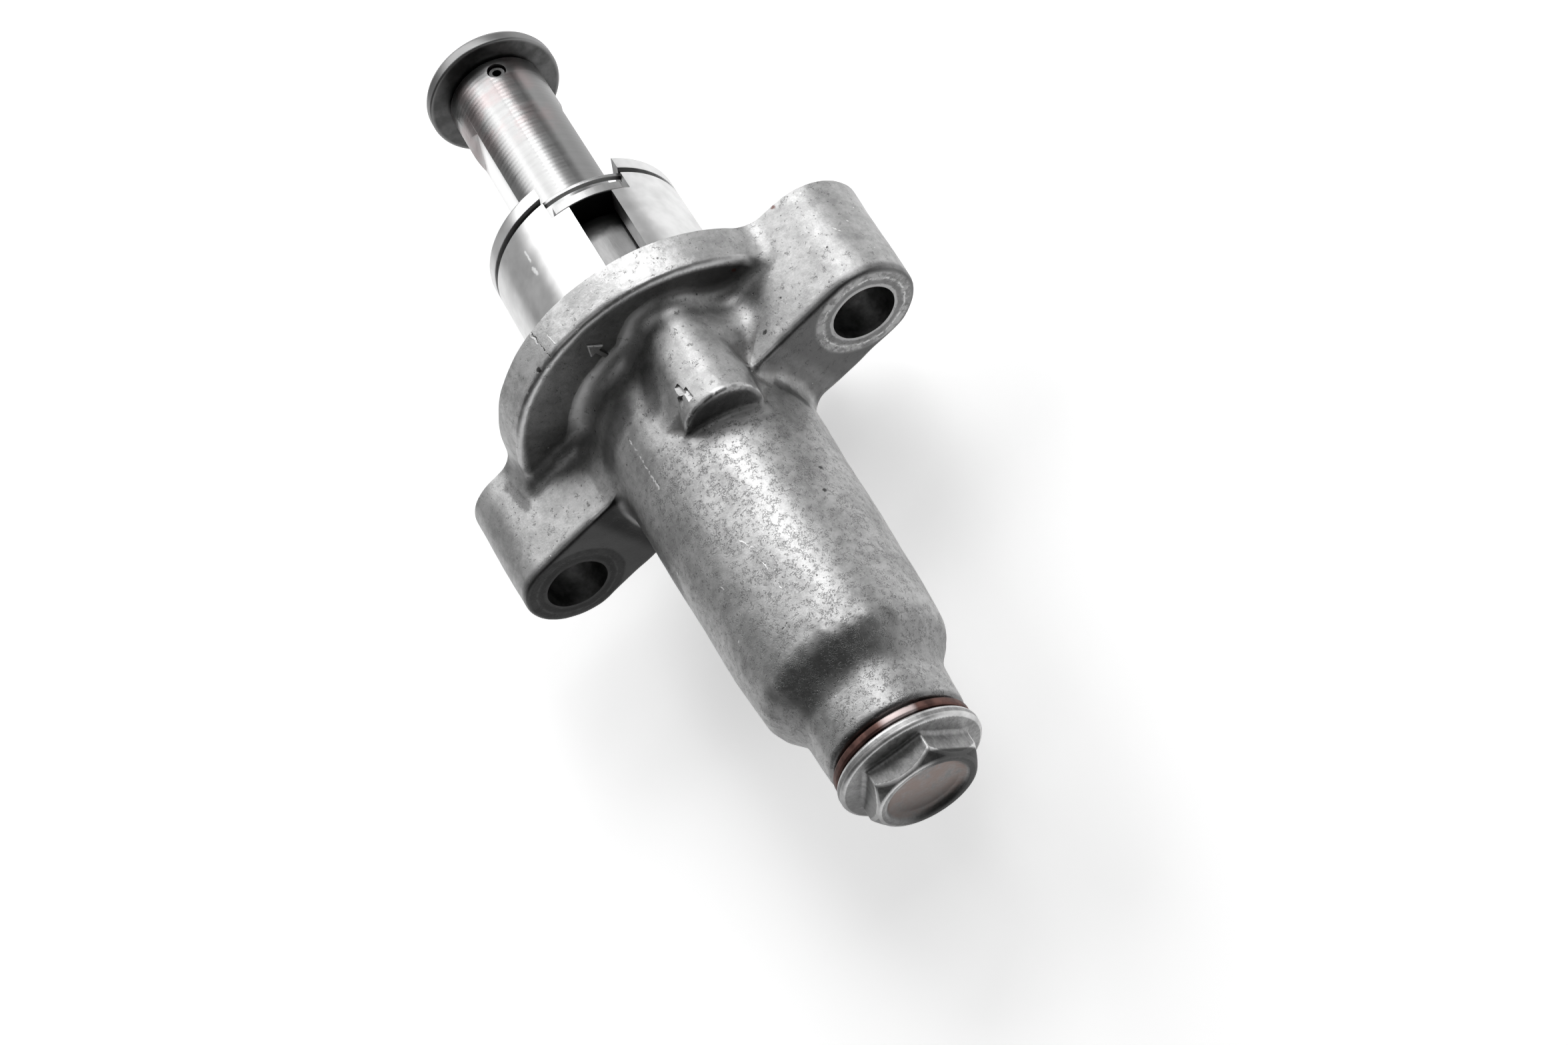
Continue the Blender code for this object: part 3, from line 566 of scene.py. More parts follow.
class Finish:
    """One material while it is made: it gives places on the piece, noises and mixes."""

    def __init__(self, name):
        self.material = bpy.data.materials.new(name)
        self.material.use_nodes = True
        self.tree = self.material.node_tree
        self.shader = self.tree.nodes["Principled BSDF"]
        self.place = self.vector("SCALE", self.node("TexCoord", output="Object"), Scale=1 / MM)
        self.x = self.node("SeparateXYZ", (), {0: self.place}, "X")
        self.y, self.z = self.x.output("Y"), self.x.output("Z")
        self.from_axis = (self.x * self.x + self.z * self.z).math("SQRT")
        inputs = {"Vector": self.place, "Scale": 2.5, "Detail": 3.0}
        shake = self.node("TexNoise", (), inputs, "Color")
        shake = self.vector("SUBTRACT", shake, (0.5, 0.5, 0.5))
        shake = self.vector("MULTIPLY", shake, (0.5, 0.5, 0.5))
        self.shaky_place = self.vector("ADD", self.place, shake)

    def node(self, kind, settings=(), inputs=(), output=0):
        return Signal.add(self.tree, kind, settings, inputs, output)

    def vector(self, operation, a, b=None, **named):
        """Places or colours through one Vector Math node."""
        inputs = {0: a, **named}
        if b is not None:
            inputs[1] = b
        return self.node("VectorMath", {"operation": operation}, inputs)

    def stretched(self, x, y, z):
        """The place on the piece with its axes stretched, for streaks and lines."""
        return self.vector("MULTIPLY", self.place, (x, y, z))

    def noise(self, size, detail=2.0, rough=0.5, place=None, offset=0.0, warp=0.0):
        """Noise from 0 to 1 with features of about that size in millimetres."""
        place = self.vector("ADD", place or self.place, (offset, offset * 1.7, offset * 0.6))
        inputs = {"Vector": place, "Scale": 1 / size, "Detail": detail, "Roughness": rough,
                  "Distortion": warp}
        return self.node("TexNoise", (), inputs)

    def across_slot(self):
        """How far a place is to the side of the middle of the hook's slot."""
        slot = math.radians(SLOT_ANGLE)
        return self.z * math.cos(slot) - self.x * math.sin(slot)

    def spots(self, spacing, size, share, offset=0.0):
        """1 inside small round spots, one in each cell of that spacing; a share of them shows."""
        place = self.vector("ADD", self.place, (offset, offset * 1.3, offset * 0.7))
        inputs = {"Vector": place, "Scale": 1 / spacing, "Randomness": 1.0}
        distance = self.node("TexVoronoi", (), inputs, "Distance")
        pick = self.node("SeparateColor", (), {0: distance.output("Color")}, 0)
        shown = pick.step(1 - share, 1.001 - share)
        return distance.step(size / spacing, size / spacing * 0.5) * shown

    def near(self, centre, radius):
        """1 round a place, with an uneven edge, and 0 further off."""
        distance = self.vector("DISTANCE", self.shaky_place, centre).output("Value")
        return distance.step(radius * 1.3, radius * 0.6)

    def mark(self, start, end, half_width):
        """1 along a slightly uneven straight mark between two places."""
        along = Vector(end) - Vector(start)
        from_start = self.vector("SUBTRACT", self.shaky_place, start)
        share = self.vector("DOT_PRODUCT", from_start, along / along.length_squared).output("Value")
        share = self.node("Math", {"operation": "MULTIPLY", "use_clamp": True}, {0: share, 1: 1.0})
        nearest = self.vector("SCALE", along, Scale=share)
        distance = self.vector("DISTANCE", from_start, nearest).output("Value")
        return distance.step(half_width * 1.4, half_width * 0.5)

    def marks(self, table):
        """All marks of a table in one: (start, end, half width) or (place, radius) each."""
        total = None
        for entry in table:
            one = self.mark(*entry) if len(entry) == 3 else self.near(*entry)
            total = one if total is None else total.math("MAXIMUM", one)
        return total

    def mix(self, share, a, b):
        """Colour a where share is 0 and b where it is 1."""
        inputs = {0: share, MIX_A: self.paint(a), MIX_B: self.paint(b)}
        return self.node("Mix", {"data_type": "RGBA"}, inputs, MIX_COLOR)

    @staticmethod
    def paint(color):
        return color if isinstance(color, Signal) else (*color, 1.0)

    def bump(self, height, distance, strength):
        """A normal from a height; distance is in millimetres."""
        inputs = {"Height": height, "Distance": distance * MM, "Strength": strength}
        return self.node("Bump", (), inputs)

    def done(self, color, rough, normal):
        """The finished material: all of them here are bare metal."""
        for name, value in (("Base Color", color), ("Roughness", rough), ("Normal", normal)):
            self.tree.links.new(value.socket, self.shader.inputs[name])
        self.shader.inputs["Metallic"].default_value = 1.0
        return self.material


def grey(value, warmth=0.0):
    """A grey, a little redder and less blue where it is warm."""
    return (value * (1 + warmth), value, value * (1 - warmth))


# Single marks on the cast skin: (start, end, half width) or (place, radius)
SCRATCHES = [
    ((-3.45, -11.45, 9.75), (-3.43, -17.84, 9.55), 0.1),
    ((0.89, -28.52, 9.87), (1.56, -30.18, 9.77), 0.07),
    ((1.59, -31.43, 9.76), (1.66, -32.9, 9.7), 0.05),
    ((1.7, -34.5, 9.6), (1.8, -35.3, 9.56), 0.05),
    ((-3.3, -30.3, 9.32), (-3.1, -31.0, 9.36), 0.07),
    ((-3.5, -0.1, 17.45), (-3.38, -1.5, 17.35), 0.09),
    ((-1.95, -1.8, 17.55), (-1.77, -3.1, 17.45), 0.07),
    ((23.38, -6.11, 4.75), (23.91, -6.95, 4.25), 0.05),
    ((4.31, -42.73, 7.87), (4.98, -43.55, 6.55), 0.04),
]
BRIGHT_DINGS = [
    ((4.0, -40.4, 8.85), (3.3, -40.8, 9.05), 0.09),
    ((4.5, -40.2, 8.6), 0.14),
    ((2.2, -41.1, 9.3), 0.1),
    ((2.18, -43.02, 8.45), 0.1),
    ((-7.22, -24.5, 6.92), 0.13),
    ((-4.79, -35.63, 8.47), 0.1),
    ((22.9, -0.7, 5.1), 0.14),
    ((22.0, -1.1, 5.6), 0.12),
    ((25.53, -3.8, 1.85), 0.1),
    ((24.69, -5.71, 3.37), 0.1),
]
DARK_PITS = [
    ((-3.29, -0.16, 17.5), (-2.97, -3.66, 17.15), 0.07),
    ((-0.5, -38.7, 9.67), (0.64, -38.2, 9.66), 0.09),
    ((5.6, -12.1, 12.75), (5.45, -14.9, 12.75), 0.07),
    ((12.38, -10.23, 5.64), 0.2),
    ((10.99, -8.94, 5.69), 0.13),
    ((15.54, -8.54, 5.67), 0.12),
    ((22.07, -7.77, 5.32), 0.12),
    ((24.31, -2.89, 3.98), 0.1),
    ((9.18, -24.65, 3.86), 0.25),
    ((8.65, -27.5, 4.91), 0.25),
    ((4.0, -14.6, 12.4), 0.35),
    ((-4.9, -3.4, 16.7), 0.3),
]


def cast_aluminium():
    """Die-cast skin: cloudy greys, dark pits and wormy marks, rubbed edges and painted shade in
    concave corners.
    """
    f = Finish("cast_aluminium")
    bend = f.node("Attribute", {"attribute_name": "bend"}, (), "Fac")
    clouds = f.noise(4.0, 4, 0.6, warp=0.4)
    blotches = f.noise(0.9, 4, 0.65, offset=7)
    grain = f.noise(0.2, 3, 0.7, offset=3)
    tone = clouds * 0.4 + blotches * 0.4 + grain * 0.2
    by_seat = f.y.step(-11.2, -11.8) * f.x.math("ABSOLUTE").step(12, 13.5)
    worn = bend.step(0.35, 1.4) * (1 - by_seat)
    # Painted shade: concave corners below the flange's root are darkened
    corner_shade = bend.step(-0.25, -0.8) * f.y.step(-6.5, -9.0)
    color = f.mix(tone.step(0.36, 0.64), grey(0.33), grey(0.54))
    color = f.mix(worn * (0.35 + blotches * 0.6), color, grey(0.72))
    color = f.mix(corner_shade * 0.45, color, grey(0.16, 0.03))
    color = flange_and_barrel(f, color, bend, tone)
    color = bolt_seats(f, color, by_seat, blotches)
    dark, bright = flaws(f)
    color = f.mix(dark * 0.9, color, grey(0.05))
    color = f.mix(bright * 0.85, color, grey(0.9))
    rust = f.marks([((13.95, -3.99, 7.86), 0.25), ((20.1, -0.25, 5.9), 0.2)])
    color = f.mix(rust * 0.8, color, (0.13, 0.05, 0.04))
    rough = 0.40 + tone * 0.16 - worn * 0.08 + corner_shade * 0.1
    height = grain * 0.5 + blotches * 0.9 + clouds * 0.8 - dark * 0.9 + bright * 0.5
    return f.done(color, rough, f.bump(height, 0.05, 0.6))


def flange_and_barrel(f, color, bend, tone):
    """Painted shade and painted highlights on the casting, from the flange to the neck."""
    # Painted shade: the flange's underside, which faces down, is darkened
    underside = (f.y - FLANGE_UNDERSIDE).math("ABSOLUTE").step(0.5, 0.15)
    underside = underside * f.from_axis.step(16.9, 16.4)
    color = f.mix(underside * (0.55 + f.x.step(6, 9) * 0.3), color, grey(0.06, 0.02))
    # Painted highlight: a light band in the concave fillet under the flange, as a reflection
    root = bend.step(-0.15, -0.45) * f.y.step(-6.6, -5.4) * f.x.step(8, 5) * f.x.step(-11, -8)
    color = f.mix(root * 0.6, color, grey(0.75))
    # Painted highlight on the lower rounded edge of the flange's rim, on its front
    rim = f.from_axis.step(17.2, 17.45) * f.y.step(-3.9, -3.4)
    rim = rim * f.x.math("ABSOLUTE").step(13.5, 12)
    color = f.mix(rim * 0.6, color, f.mix(tone.step(0.42, 0.58), grey(0.48), grey(0.72)))
    # Painted highlight: a bright stripe along the barrel where it catches the light
    highlight_stripe = f.mark((4.9, -18.0, 8.9), (5.4, -37.0, 7.8), 1.2)
    color = f.mix(highlight_stripe * 0.2, color, grey(0.85))
    # Painted light that lifts the boss's shadow on the barrel just below its end
    under_boss = f.marks([((2.5, -16.9, 9.9), (5.5, -16.9, 8.6), 0.8),
                          ((5.5, -16.9, 8.6), (8.3, -16.8, 6.0), 0.8)])
    color = f.mix(under_boss * 0.75, color, grey(0.95))
    # Painted shade: a dark band round the shoulder and on the rounded edge at the neck's end
    shoulder = f.y.step(-40.6, -42.4) * f.y.step(-46.6, -44.4)
    neck_edge = f.y.step(-48.8, -49.5) * f.from_axis.step(6.0, 6.4)
    color = f.mix((shoulder * 0.35).math("MAXIMUM", neck_edge * 0.75), color, grey(0.08))
    # Painted shade under the right-hand ear, below the boss and on the boss's end face
    shade_patch = f.marks([((9.9, -13.6, 2.9), (10.2, -15.2, -0.6), 0.6), ((9.4, -16.9, 6.5), 0.5)])
    boss_end = f.mark((3.5, -16.1, 10.6), (8.4, -16.1, 7.6), 2.4) * f.y.step(-15.8, -16.0)
    color = f.mix((shade_patch * 0.6).math("MAXIMUM", boss_end * 0.7), color, grey(0.06))
    # Painted shade: the ear seats, which face down, are darkened, the left one most
    seat = f.y.step(EAR_SEAT + 0.3, EAR_SEAT + 0.12)
    seat = seat * f.from_axis.step(10.5, 11.2) * f.z.step(7.3, 6.3)
    seat_shade = f.mix(f.x.step(-10, 0), grey(0.025), grey(0.09))
    color = f.mix(seat * (0.65 + f.x.step(0, -10) * 0.35), color, seat_shade)
    # Painted shade on the barrel beside the left ear, left of the boss and below the flange; the
    # last mark is a dark streak on the left ear's wall
    corners = f.marks([((-8.6, -14.0, 4.5), (-8.2, -24.0, 4.5), 2.0),
                       ((2.2, -8.0, 10.9), (0.6, -11.0, 10.5), 1.3),
                       ((-2.6, -8.6, 10.0), (-7.1, -9.4, 7.4), 1.5),
                       ((-18.7, -2.0, 5.9), (-18.0, -5.4, 5.8), 0.6)])
    return f.mix(corners * 0.6, color, grey(0.06))


def bolt_seats(f, color, by_seat, blotches):
    """The ring that a bolt's flange has rubbed round each bolt hole, and painted shade outside it
    on the seat's edge.
    """
    across = f.x.math("ABSOLUTE") - EAR_X
    from_hole = (across * across + f.z * f.z).math("SQRT") + (blotches - 0.5) * 0.5
    broken = f.noise(0.6, 3, 0.7, offset=21).step(0.4, 0.55)
    rub = from_hole.step(4.0, 4.3) * from_hole.step(5.3, 4.9)
    rub = rub * (0.1 + blotches.step(0.42, 0.56) * 0.35)
    ring = (from_hole - 4.35).math("ABSOLUTE").step(0.16, 0.06) * broken
    rim_line = from_hole.step(3.7, 3.5)
    rubbed = rub.math("MAXIMUM", ring * 0.9).math("MAXIMUM", rim_line * 0.5)
    rubbed = rubbed * (0.05 + f.x.step(0, 10) * 0.95) * f.y.step(EAR_SEAT + 0.15, EAR_SEAT)
    color = f.mix(rubbed, color, grey(0.66))
    # Painted shade: a dark band round the seat's outer edge
    return f.mix(by_seat * from_hole.step(5.0, 5.4) * 0.6, color, grey(0.1))


def flaws(f):
    """Dark pits and wormy marks of the cast skin, and its bright specks, dings and scratches."""
    pits = f.spots(0.6, 0.07, 0.5) + f.spots(1.7, 0.14, 0.25, offset=5)
    specks = f.spots(2.3, 0.1, 0.25, offset=9)
    wriggles = f.noise(0.24, 2, 0.5, offset=13, warp=0.5) - 0.5
    wriggles = wriggles.math("ABSOLUTE").step(0.055, 0.02)
    scab = f.marks([((8.36, -25.1, 5.43), 1.0), ((-1.86, -19.3, 9.9), 0.7)])
    on_barrel = f.y.step(-14, -18) * f.from_axis.step(11, 10.4)
    patches = f.noise(0.7, 3, 0.6, offset=17) + on_barrel * 0.1
    worms = wriggles * patches.step(0.58, 0.64).math("MAXIMUM", scab)
    dark = (pits.math("MINIMUM", 1.0) * 0.8).math("MAXIMUM", worms * 0.55)
    dark = dark.math("MAXIMUM", f.marks(DARK_PITS))
    bright = (specks * 0.7).math("MAXIMUM", f.marks(SCRATCHES + BRIGHT_DINGS))
    return dark, bright


def machined_aluminium():
    """Turned faces: bright, with fine rings round the axis, a few rubs and three nicks."""
    f = Finish("machined_aluminium")
    rings = f.noise(0.35, 3, 0.7, place=f.stretched(0.02, 1.0, 0.02))
    fine = f.noise(0.08, 2, 0.6, place=f.stretched(0.01, 1.0, 0.01), offset=4)
    clouds = f.noise(4.0, 3, 0.6, offset=9)
    rubs = f.spots(2.2, 0.25, 0.25, offset=3)
    nicks = f.marks([((0.0, 13.1, 10.76), 0.2), ((-2.4, 14.4, 10.5), (-2.4, 13.0, 10.5), 0.13),
                     ((-2.6, 12.1, 10.45), (-2.5, 11.2, 10.47), 0.2)])
    color = f.mix(clouds.step(0.3, 0.7), grey(0.58), grey(0.76))
    color = f.mix((rubs * 0.5).math("MAXIMUM", nicks), color, grey(0.92))
    rough = 0.24 + rings * 0.10 + clouds * 0.08 + nicks * 0.2
    return f.done(color, rough, f.bump(rings * 0.6 + fine * 0.4 + nicks * 0.8, 0.01, 0.5))


def hole_wall():
    """Walls of the bore and the bolt holes: painted dark as their shade."""
    f = Finish("hole_wall")
    clouds = f.noise(1.2, 4, 0.6)
    color = f.mix(clouds.step(0.3, 0.7), grey(0.07), grey(0.16))
    return f.done(color, 0.4 + clouds * 0.2, f.bump(clouds, 0.05, 0.5))


def ground_steel():
    """The plunger: ground, with slanting turning lines, a warm tint, painted shade on one side and
    a painted highlight on its flats.
    """
    pitch = 0.58
    f = Finish("ground_steel")
    angle = f.z.math("ARCTAN2", f.x)
    lines = (f.y * (2 * math.pi / pitch) + angle * 3).math("SINE")
    streaks = f.noise(0.5, 2, 0.5, place=f.stretched(0.06, 1.0, 0.06))
    tint = f.noise(3.5, 3, 0.6, offset=6).step(0.42, 0.6) * f.y.step(29, 35)
    sideways = f.across_slot()
    flat = sideways.math("ABSOLUTE").step(FLAT_DISTANCE - 0.1, FLAT_DISTANCE - 0.02)
    flat = flat * f.from_axis.step(PLUNGER_R - 0.01, PLUNGER_R - 0.05)
    flat = flat * f.y.step(FLAT_END + 1, FLAT_END - 2)
    color = f.mix(streaks, grey(0.28), grey(0.4))
    # Painted shade: the side of the plunger away from the light is darkened
    color = f.mix(sideways.step(-0.5, -3.5) * 0.6, color, grey(0.1))
    color = f.mix(tint * sideways.step(-4, -2) * 0.3, color, (0.38, 0.25, 0.25))
    # Painted highlight: the flats are made brighter where they reflect the light
    color = f.mix(flat, color, grey(0.95))
    rough = 0.25 + streaks * 0.1
    return f.done(color, rough, f.bump(lines * 0.35 + streaks * 0.4, 0.008, 0.5))


def blackened_steel():
    """The head: blackened, rubbed lighter round its rim."""
    f = Finish("blackened_steel")
    rim = f.from_axis.step(HEAD_R - 0.5, HEAD_R - 0.05)
    clouds = f.noise(2.0, 4, 0.6)
    grain = f.noise(0.25, 2, 0.6, offset=3)
    color = f.mix(clouds.step(0.35, 0.7), grey(0.07), grey(0.13))
    color = f.mix(rim * 0.7, color, grey(0.30))
    rough = 0.36 + clouds * 0.15
    return f.done(color, rough, f.bump(clouds * 0.6 + grain * 0.4, 0.03, 0.4))


def sheared_steel(name, dark, light, rough, painted_shade=None):
    """Stamped or drawn steel with short scratches; the last argument says where it is painted black
    as shade.
    """
    f = Finish(name)
    clouds = f.noise(1.5, 4, 0.6)
    scratches = f.noise(0.25, 3, 0.6, place=f.stretched(1.0, 0.2, 1.0), offset=5)
    color = f.mix(clouds * 0.5 + scratches * 0.5, grey(dark), grey(light))
    if painted_shade:
        # Painted shade: the given places are painted nearly black
        color = f.mix(painted_shade(f), color, grey(0.03))
    return f.done(color, rough + clouds * 0.15, f.bump(scratches + clouds * 0.5, 0.03, 0.5))


def under_plate(f):
    """The guide plate's lower face, painted black as shade."""
    return f.y.step(PLATE_LOW + 0.1, PLATE_LOW + 0.02)


def in_groove(f):
    """The snap ring where the spigot's groove holds it, painted dark as the groove's shade."""
    return f.across_slot().math("ABSOLUTE").step(3.6, 4.2) * 0.9


def sleeve_top(f):
    """The sleeve's upper end, with an uneven edge, painted dark as the plate's shadow."""
    clouds = f.noise(2.0, 2, 0.5, offset=4)
    return (f.y + clouds * 2).step(12.6, 14.2)


def dull_zinc():
    """The sealing bolt: dull zinc, rubbed edges, a brown film in its dish, and painted shade on its
    lower side and chamfer.
    """
    f = Finish("dull_zinc")
    film = f.from_axis.step(4.1, 3.8) * f.y.step(-54.0, -54.2)
    # Painted shade on the lower right of the dish's chamfer
    shade_patch = f.from_axis.step(3.95, 4.2) * f.y.step(-54.1, -54.4) * (f.x - f.z).step(-3.0, 0.5)
    bend = f.node("Attribute", {"attribute_name": "bend"}, (), "Fac")
    clouds = f.noise(1.6, 4, 0.65, warp=0.5)
    grain = f.noise(0.2, 3, 0.7, offset=3)
    streaks = f.noise(0.35, 3, 0.6, place=f.stretched(1.0, 0.25, 1.0), offset=8)
    tone = clouds * 0.5 + streaks * 0.3 + grain * 0.2
    color = f.mix(tone.step(0.35, 0.65), grey(0.20), grey(0.40))
    off_dish = 1 - f.from_axis.step(4.5, 4.3) * f.y.step(-54.2, -54.4) * 0.8
    color = f.mix(bend.step(0.8, 2.5) * (0.15 + clouds) * off_dish, color, grey(0.85))
    color = f.mix(film * clouds.step(0.25, 0.6) * 0.85, color, (0.25, 0.19, 0.17))
    # Painted shade: the lower side of the head is darkened
    low_side_shade = (f.x * -1 - f.z).step(-2, 5)
    color = f.mix(low_side_shade * 0.65, color, grey(0.06))
    color = f.mix(shade_patch * 0.9, color, grey(0.03))
    rough = 0.36 + tone * 0.2
    return f.done(color, rough, f.bump(tone, 0.09, 0.6))


def used_copper():
    """The washer: dark old copper with a painted highlight on one stretch of its edge."""
    f = Finish("used_copper")
    clouds = f.noise(1.4, 4, 0.6)
    angle = f.z.math("ARCTAN2", f.x)
    # Painted highlight on the stretch of the edge that faces the light
    highlight_stretch = angle.step(0.75, 0.85) * angle.step(1.35, 1.2)
    color = f.mix(clouds.step(0.35, 0.65), (0.085, 0.048, 0.042), (0.19, 0.105, 0.09))
    color = f.mix(highlight_stretch * clouds.step(0.25, 0.45), color, (0.55, 0.47, 0.46))
    return f.done(color, 0.42 + clouds * 0.2, f.bump(clouds, 0.04, 0.4))


# Pieces

def dress(piece, body, slot, node, *materials):
    """Gives a piece its body and its materials and hides the node that it stands for; slot is not
    used.
    """
    for material in materials:
        piece.data.materials.append(material)
    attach(piece, body)
    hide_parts(node)


def make_guide_plate():
    """Round plate with two lugs and a hole with two flats, its edges slightly broken."""
    edge = 0.12
    angles = np.radians(np.arange(0, 360, 1.5))
    corner_angles = []
    for turn in (0, math.pi):
        for sign in (-1, 1):
            corner_angles += [turn + sign * math.asin(LUG_HALF / LUG_R),
                              turn + sign * math.asin(LUG_HALF / PLATE_R)]
    angles = np.unique(np.concatenate([angles, np.mod(corner_angles, 2 * math.pi)]))
    points, faces = [], []
    for angle in angles:
        lean = max(abs(math.sin(angle)), 1e-6)
        outer = min(LUG_R, max(PLATE_R, LUG_HALF / lean))
        inner = min(PLUNGER_R + PLAY, (FLAT_DISTANCE + PLAY) / lean)
        section = [(inner, PLATE_LOW + edge), (inner + edge, PLATE_LOW), (outer - edge, PLATE_LOW),
                   (outer, PLATE_LOW + edge), (outer, PLATE_HIGH - edge),
                   (outer - edge, PLATE_HIGH), (inner + edge, PLATE_HIGH),
                   (inner, PLATE_HIGH - edge)]
        turn = angle + math.radians(SLOT_ANGLE)
        points += [(r * math.cos(turn), y, r * math.sin(turn)) for r, y in section]
    count, around = len(angles), len(section)
    for i in range(count):
        for j in range(around):
            a, b = i * around, (i + 1) % count * around
            faces.append((a + j, b + j, b + (j + 1) % around, a + (j + 1) % around))
    return soften(new_piece("guide_plate_fine", points, faces), 25)


def make_snap_ring():
    """An open ring with rounded edges."""
    opening = math.degrees(RING_HALF_GAP / RING_OUTER_R)
    corners = [(RING_INNER_R, RING_LOW, 0.1), (RING_OUTER_R, RING_LOW, 0.12),
               (RING_OUTER_R, RING_HIGH, 0.12), (RING_INNER_R, RING_HIGH, 0.1)]
    return soften(turned("snap_ring_fine", corners, start=RING_OPENING + opening,
                         sweep=360 - 2 * opening))


def make_sleeve():
    """The spacer sleeve between plunger and bore."""
    corners = [(PLUNGER_R + PLAY, SLEEVE_LOW, 0.2), (BORE_R - PLAY, SLEEVE_LOW, 0.3),
               (BORE_R - PLAY, SLEEVE_TOP, 0.45), (PLUNGER_R + PLAY, SLEEVE_TOP, 0.3)]
    return soften(turned("spacer_sleeve_fine", corners))


def pin_tool(name, radius, reach):
    """A round rod across the axis in the head pin's direction."""
    rod = cylinder(name, radius, -reach, reach, steps=48)
    turn = Matrix.Rotation(-math.radians(PIN_ANGLE), 4, "Y") @ Matrix.Rotation(-math.pi / 2, 4, "Z")
    rod.data.transform(Matrix.Translation((0, PIN_Y * MM, 0)) @ turn)
    return rod


def make_plunger():
    """The tube with its nut bore, its two flats that run out below the head, and the pin's hole."""
    plunger = turned("plunger_fine", [
        (PLUNGER_BORE_R, PLUNGER_TOP),
        (PLUNGER_R, PLUNGER_TOP, 0.3),
        (PLUNGER_R, PLUNGER_LOW, 0.4),
        (NUT_R, PLUNGER_LOW),
        (NUT_R, PLUNGER_LOW + NUT_LENGTH),
        (PLUNGER_BORE_R, PLUNGER_LOW + NUT_LENGTH),
    ])
    clear = PLUNGER_R + 1
    slant = FLAT_RUNOUT / (PLUNGER_R - FLAT_DISTANCE) * (clear - FLAT_DISTANCE)
    slot = math.radians(SLOT_ANGLE)
    out = Vector((-math.sin(slot), 0, math.cos(slot)))
    for side in (-1, 1):
        flat = block("flat", SLOT_ANGLE, (-clear, clear), (side * FLAT_DISTANCE, side * clear),
                     (PLUNGER_LOW - 1, FLAT_END))
        for vertex in flat.data.vertices:
            if vertex.co.y > 0 and vertex.co.dot(out) * side > (FLAT_DISTANCE + 0.5) * MM:
                vertex.co.y += slant * MM
        combine(plunger, clean(flat))
    combine(plunger, pin_tool("pin_hole", PIN_HOLE_R, PLUNGER_R + 1))
    return soften(plunger)


def make_head():
    """The crowned head and its stem, with the pin's hole."""
    top = HEAD_LOW + HEAD_RIM
    crown = [(HEAD_R * math.sin(a), top + CROWN_HEIGHT * math.cos(a))
             for a in np.radians(np.arange(0, 84, 6))]
    head = turned("plunger_head_fine", crown + [
        (HEAD_R, top, 0.3),
        (HEAD_R, HEAD_LOW, 0.28),
        (STEM_R, HEAD_LOW, 0.2),
        (STEM_R, HEAD_LOW - STEM_LENGTH, 0.3),
        (0, HEAD_LOW - STEM_LENGTH),
    ])
    combine(head, pin_tool("pin_hole", PIN_HOLE_R, PLUNGER_R))
    return soften(head)


def make_pin():
    """The rolled pin, as a tube."""
    pin = pin_tool("head_pin_fine", PIN_R, PLUNGER_R - 0.4)
    combine(pin, pin_tool("pin_bore", PIN_BORE_R, PLUNGER_R))
    return soften(pin)


def make_washer():
    """The flat sealing washer with rounded edges."""
    corners = [(WASHER_BORE_R, WASHER_LOW, 0.12), (WASHER_R, WASHER_LOW, 0.25),
               (WASHER_R, WASHER_HIGH, 0.25), (WASHER_BORE_R, WASHER_HIGH, 0.12)]
    return soften(turned("seal_washer_fine", corners))


def bolt_head(x, y, z):
    """The sealing bolt's flanged head as a distance field: flange, hexagon, chamfer and dish."""
    r = np.hypot(x, z)
    flats = np.radians(np.arange(20, 380, 60))
    hexagon = np.max([x * math.cos(a) + z * math.sin(a) for a in flats], axis=0) - HEX_HALF
    chamfer = (r - HEX_CHAMFER_R) * 0.755 - (y - BOLT_END) * 0.656
    hexagon = common(common(hexagon, chamfer, 0.12), BOLT_END - y, 0.1)
    hexagon = common(hexagon, y - BOLT_SEAT + 0.3, 0.05)
    dish = common(r - DISH_R + (BOLT_END - y) * -0.9, y - BOLT_END - DISH_DEPTH, 0.3)
    hexagon = common(hexagon, -dish, 0.08)
    skirt = (r - BOLT_FLANGE_R) * 0.14 - (y - BOLT_SEAT + BOLT_FLANGE_RIM) * 0.99
    flange = common(common(r - BOLT_FLANGE_R, skirt, 0.35), y - BOLT_SEAT, 0.35)
    return joined(flange, hexagon, 0.35)


def make_bolt():
    """The sealing bolt: its head meshed from the field, with a plain shank."""
    bolt = net("seal_bolt_fine", bolt_head, bolt_head, *BOLT_BOX, BOLT_CELL)
    bend = bending(bolt_head, places(bolt.data.vertices, "co"), 0.12)
    store_bend(bolt.data, np.clip(bend, -6, 6))
    shank = cylinder("shank", SHANK_R, BOLT_SEAT - 1, BOLT_SEAT + SHANK_LENGTH)
    combine(bolt, shank, "UNION")
    return soften(bolt, 50)


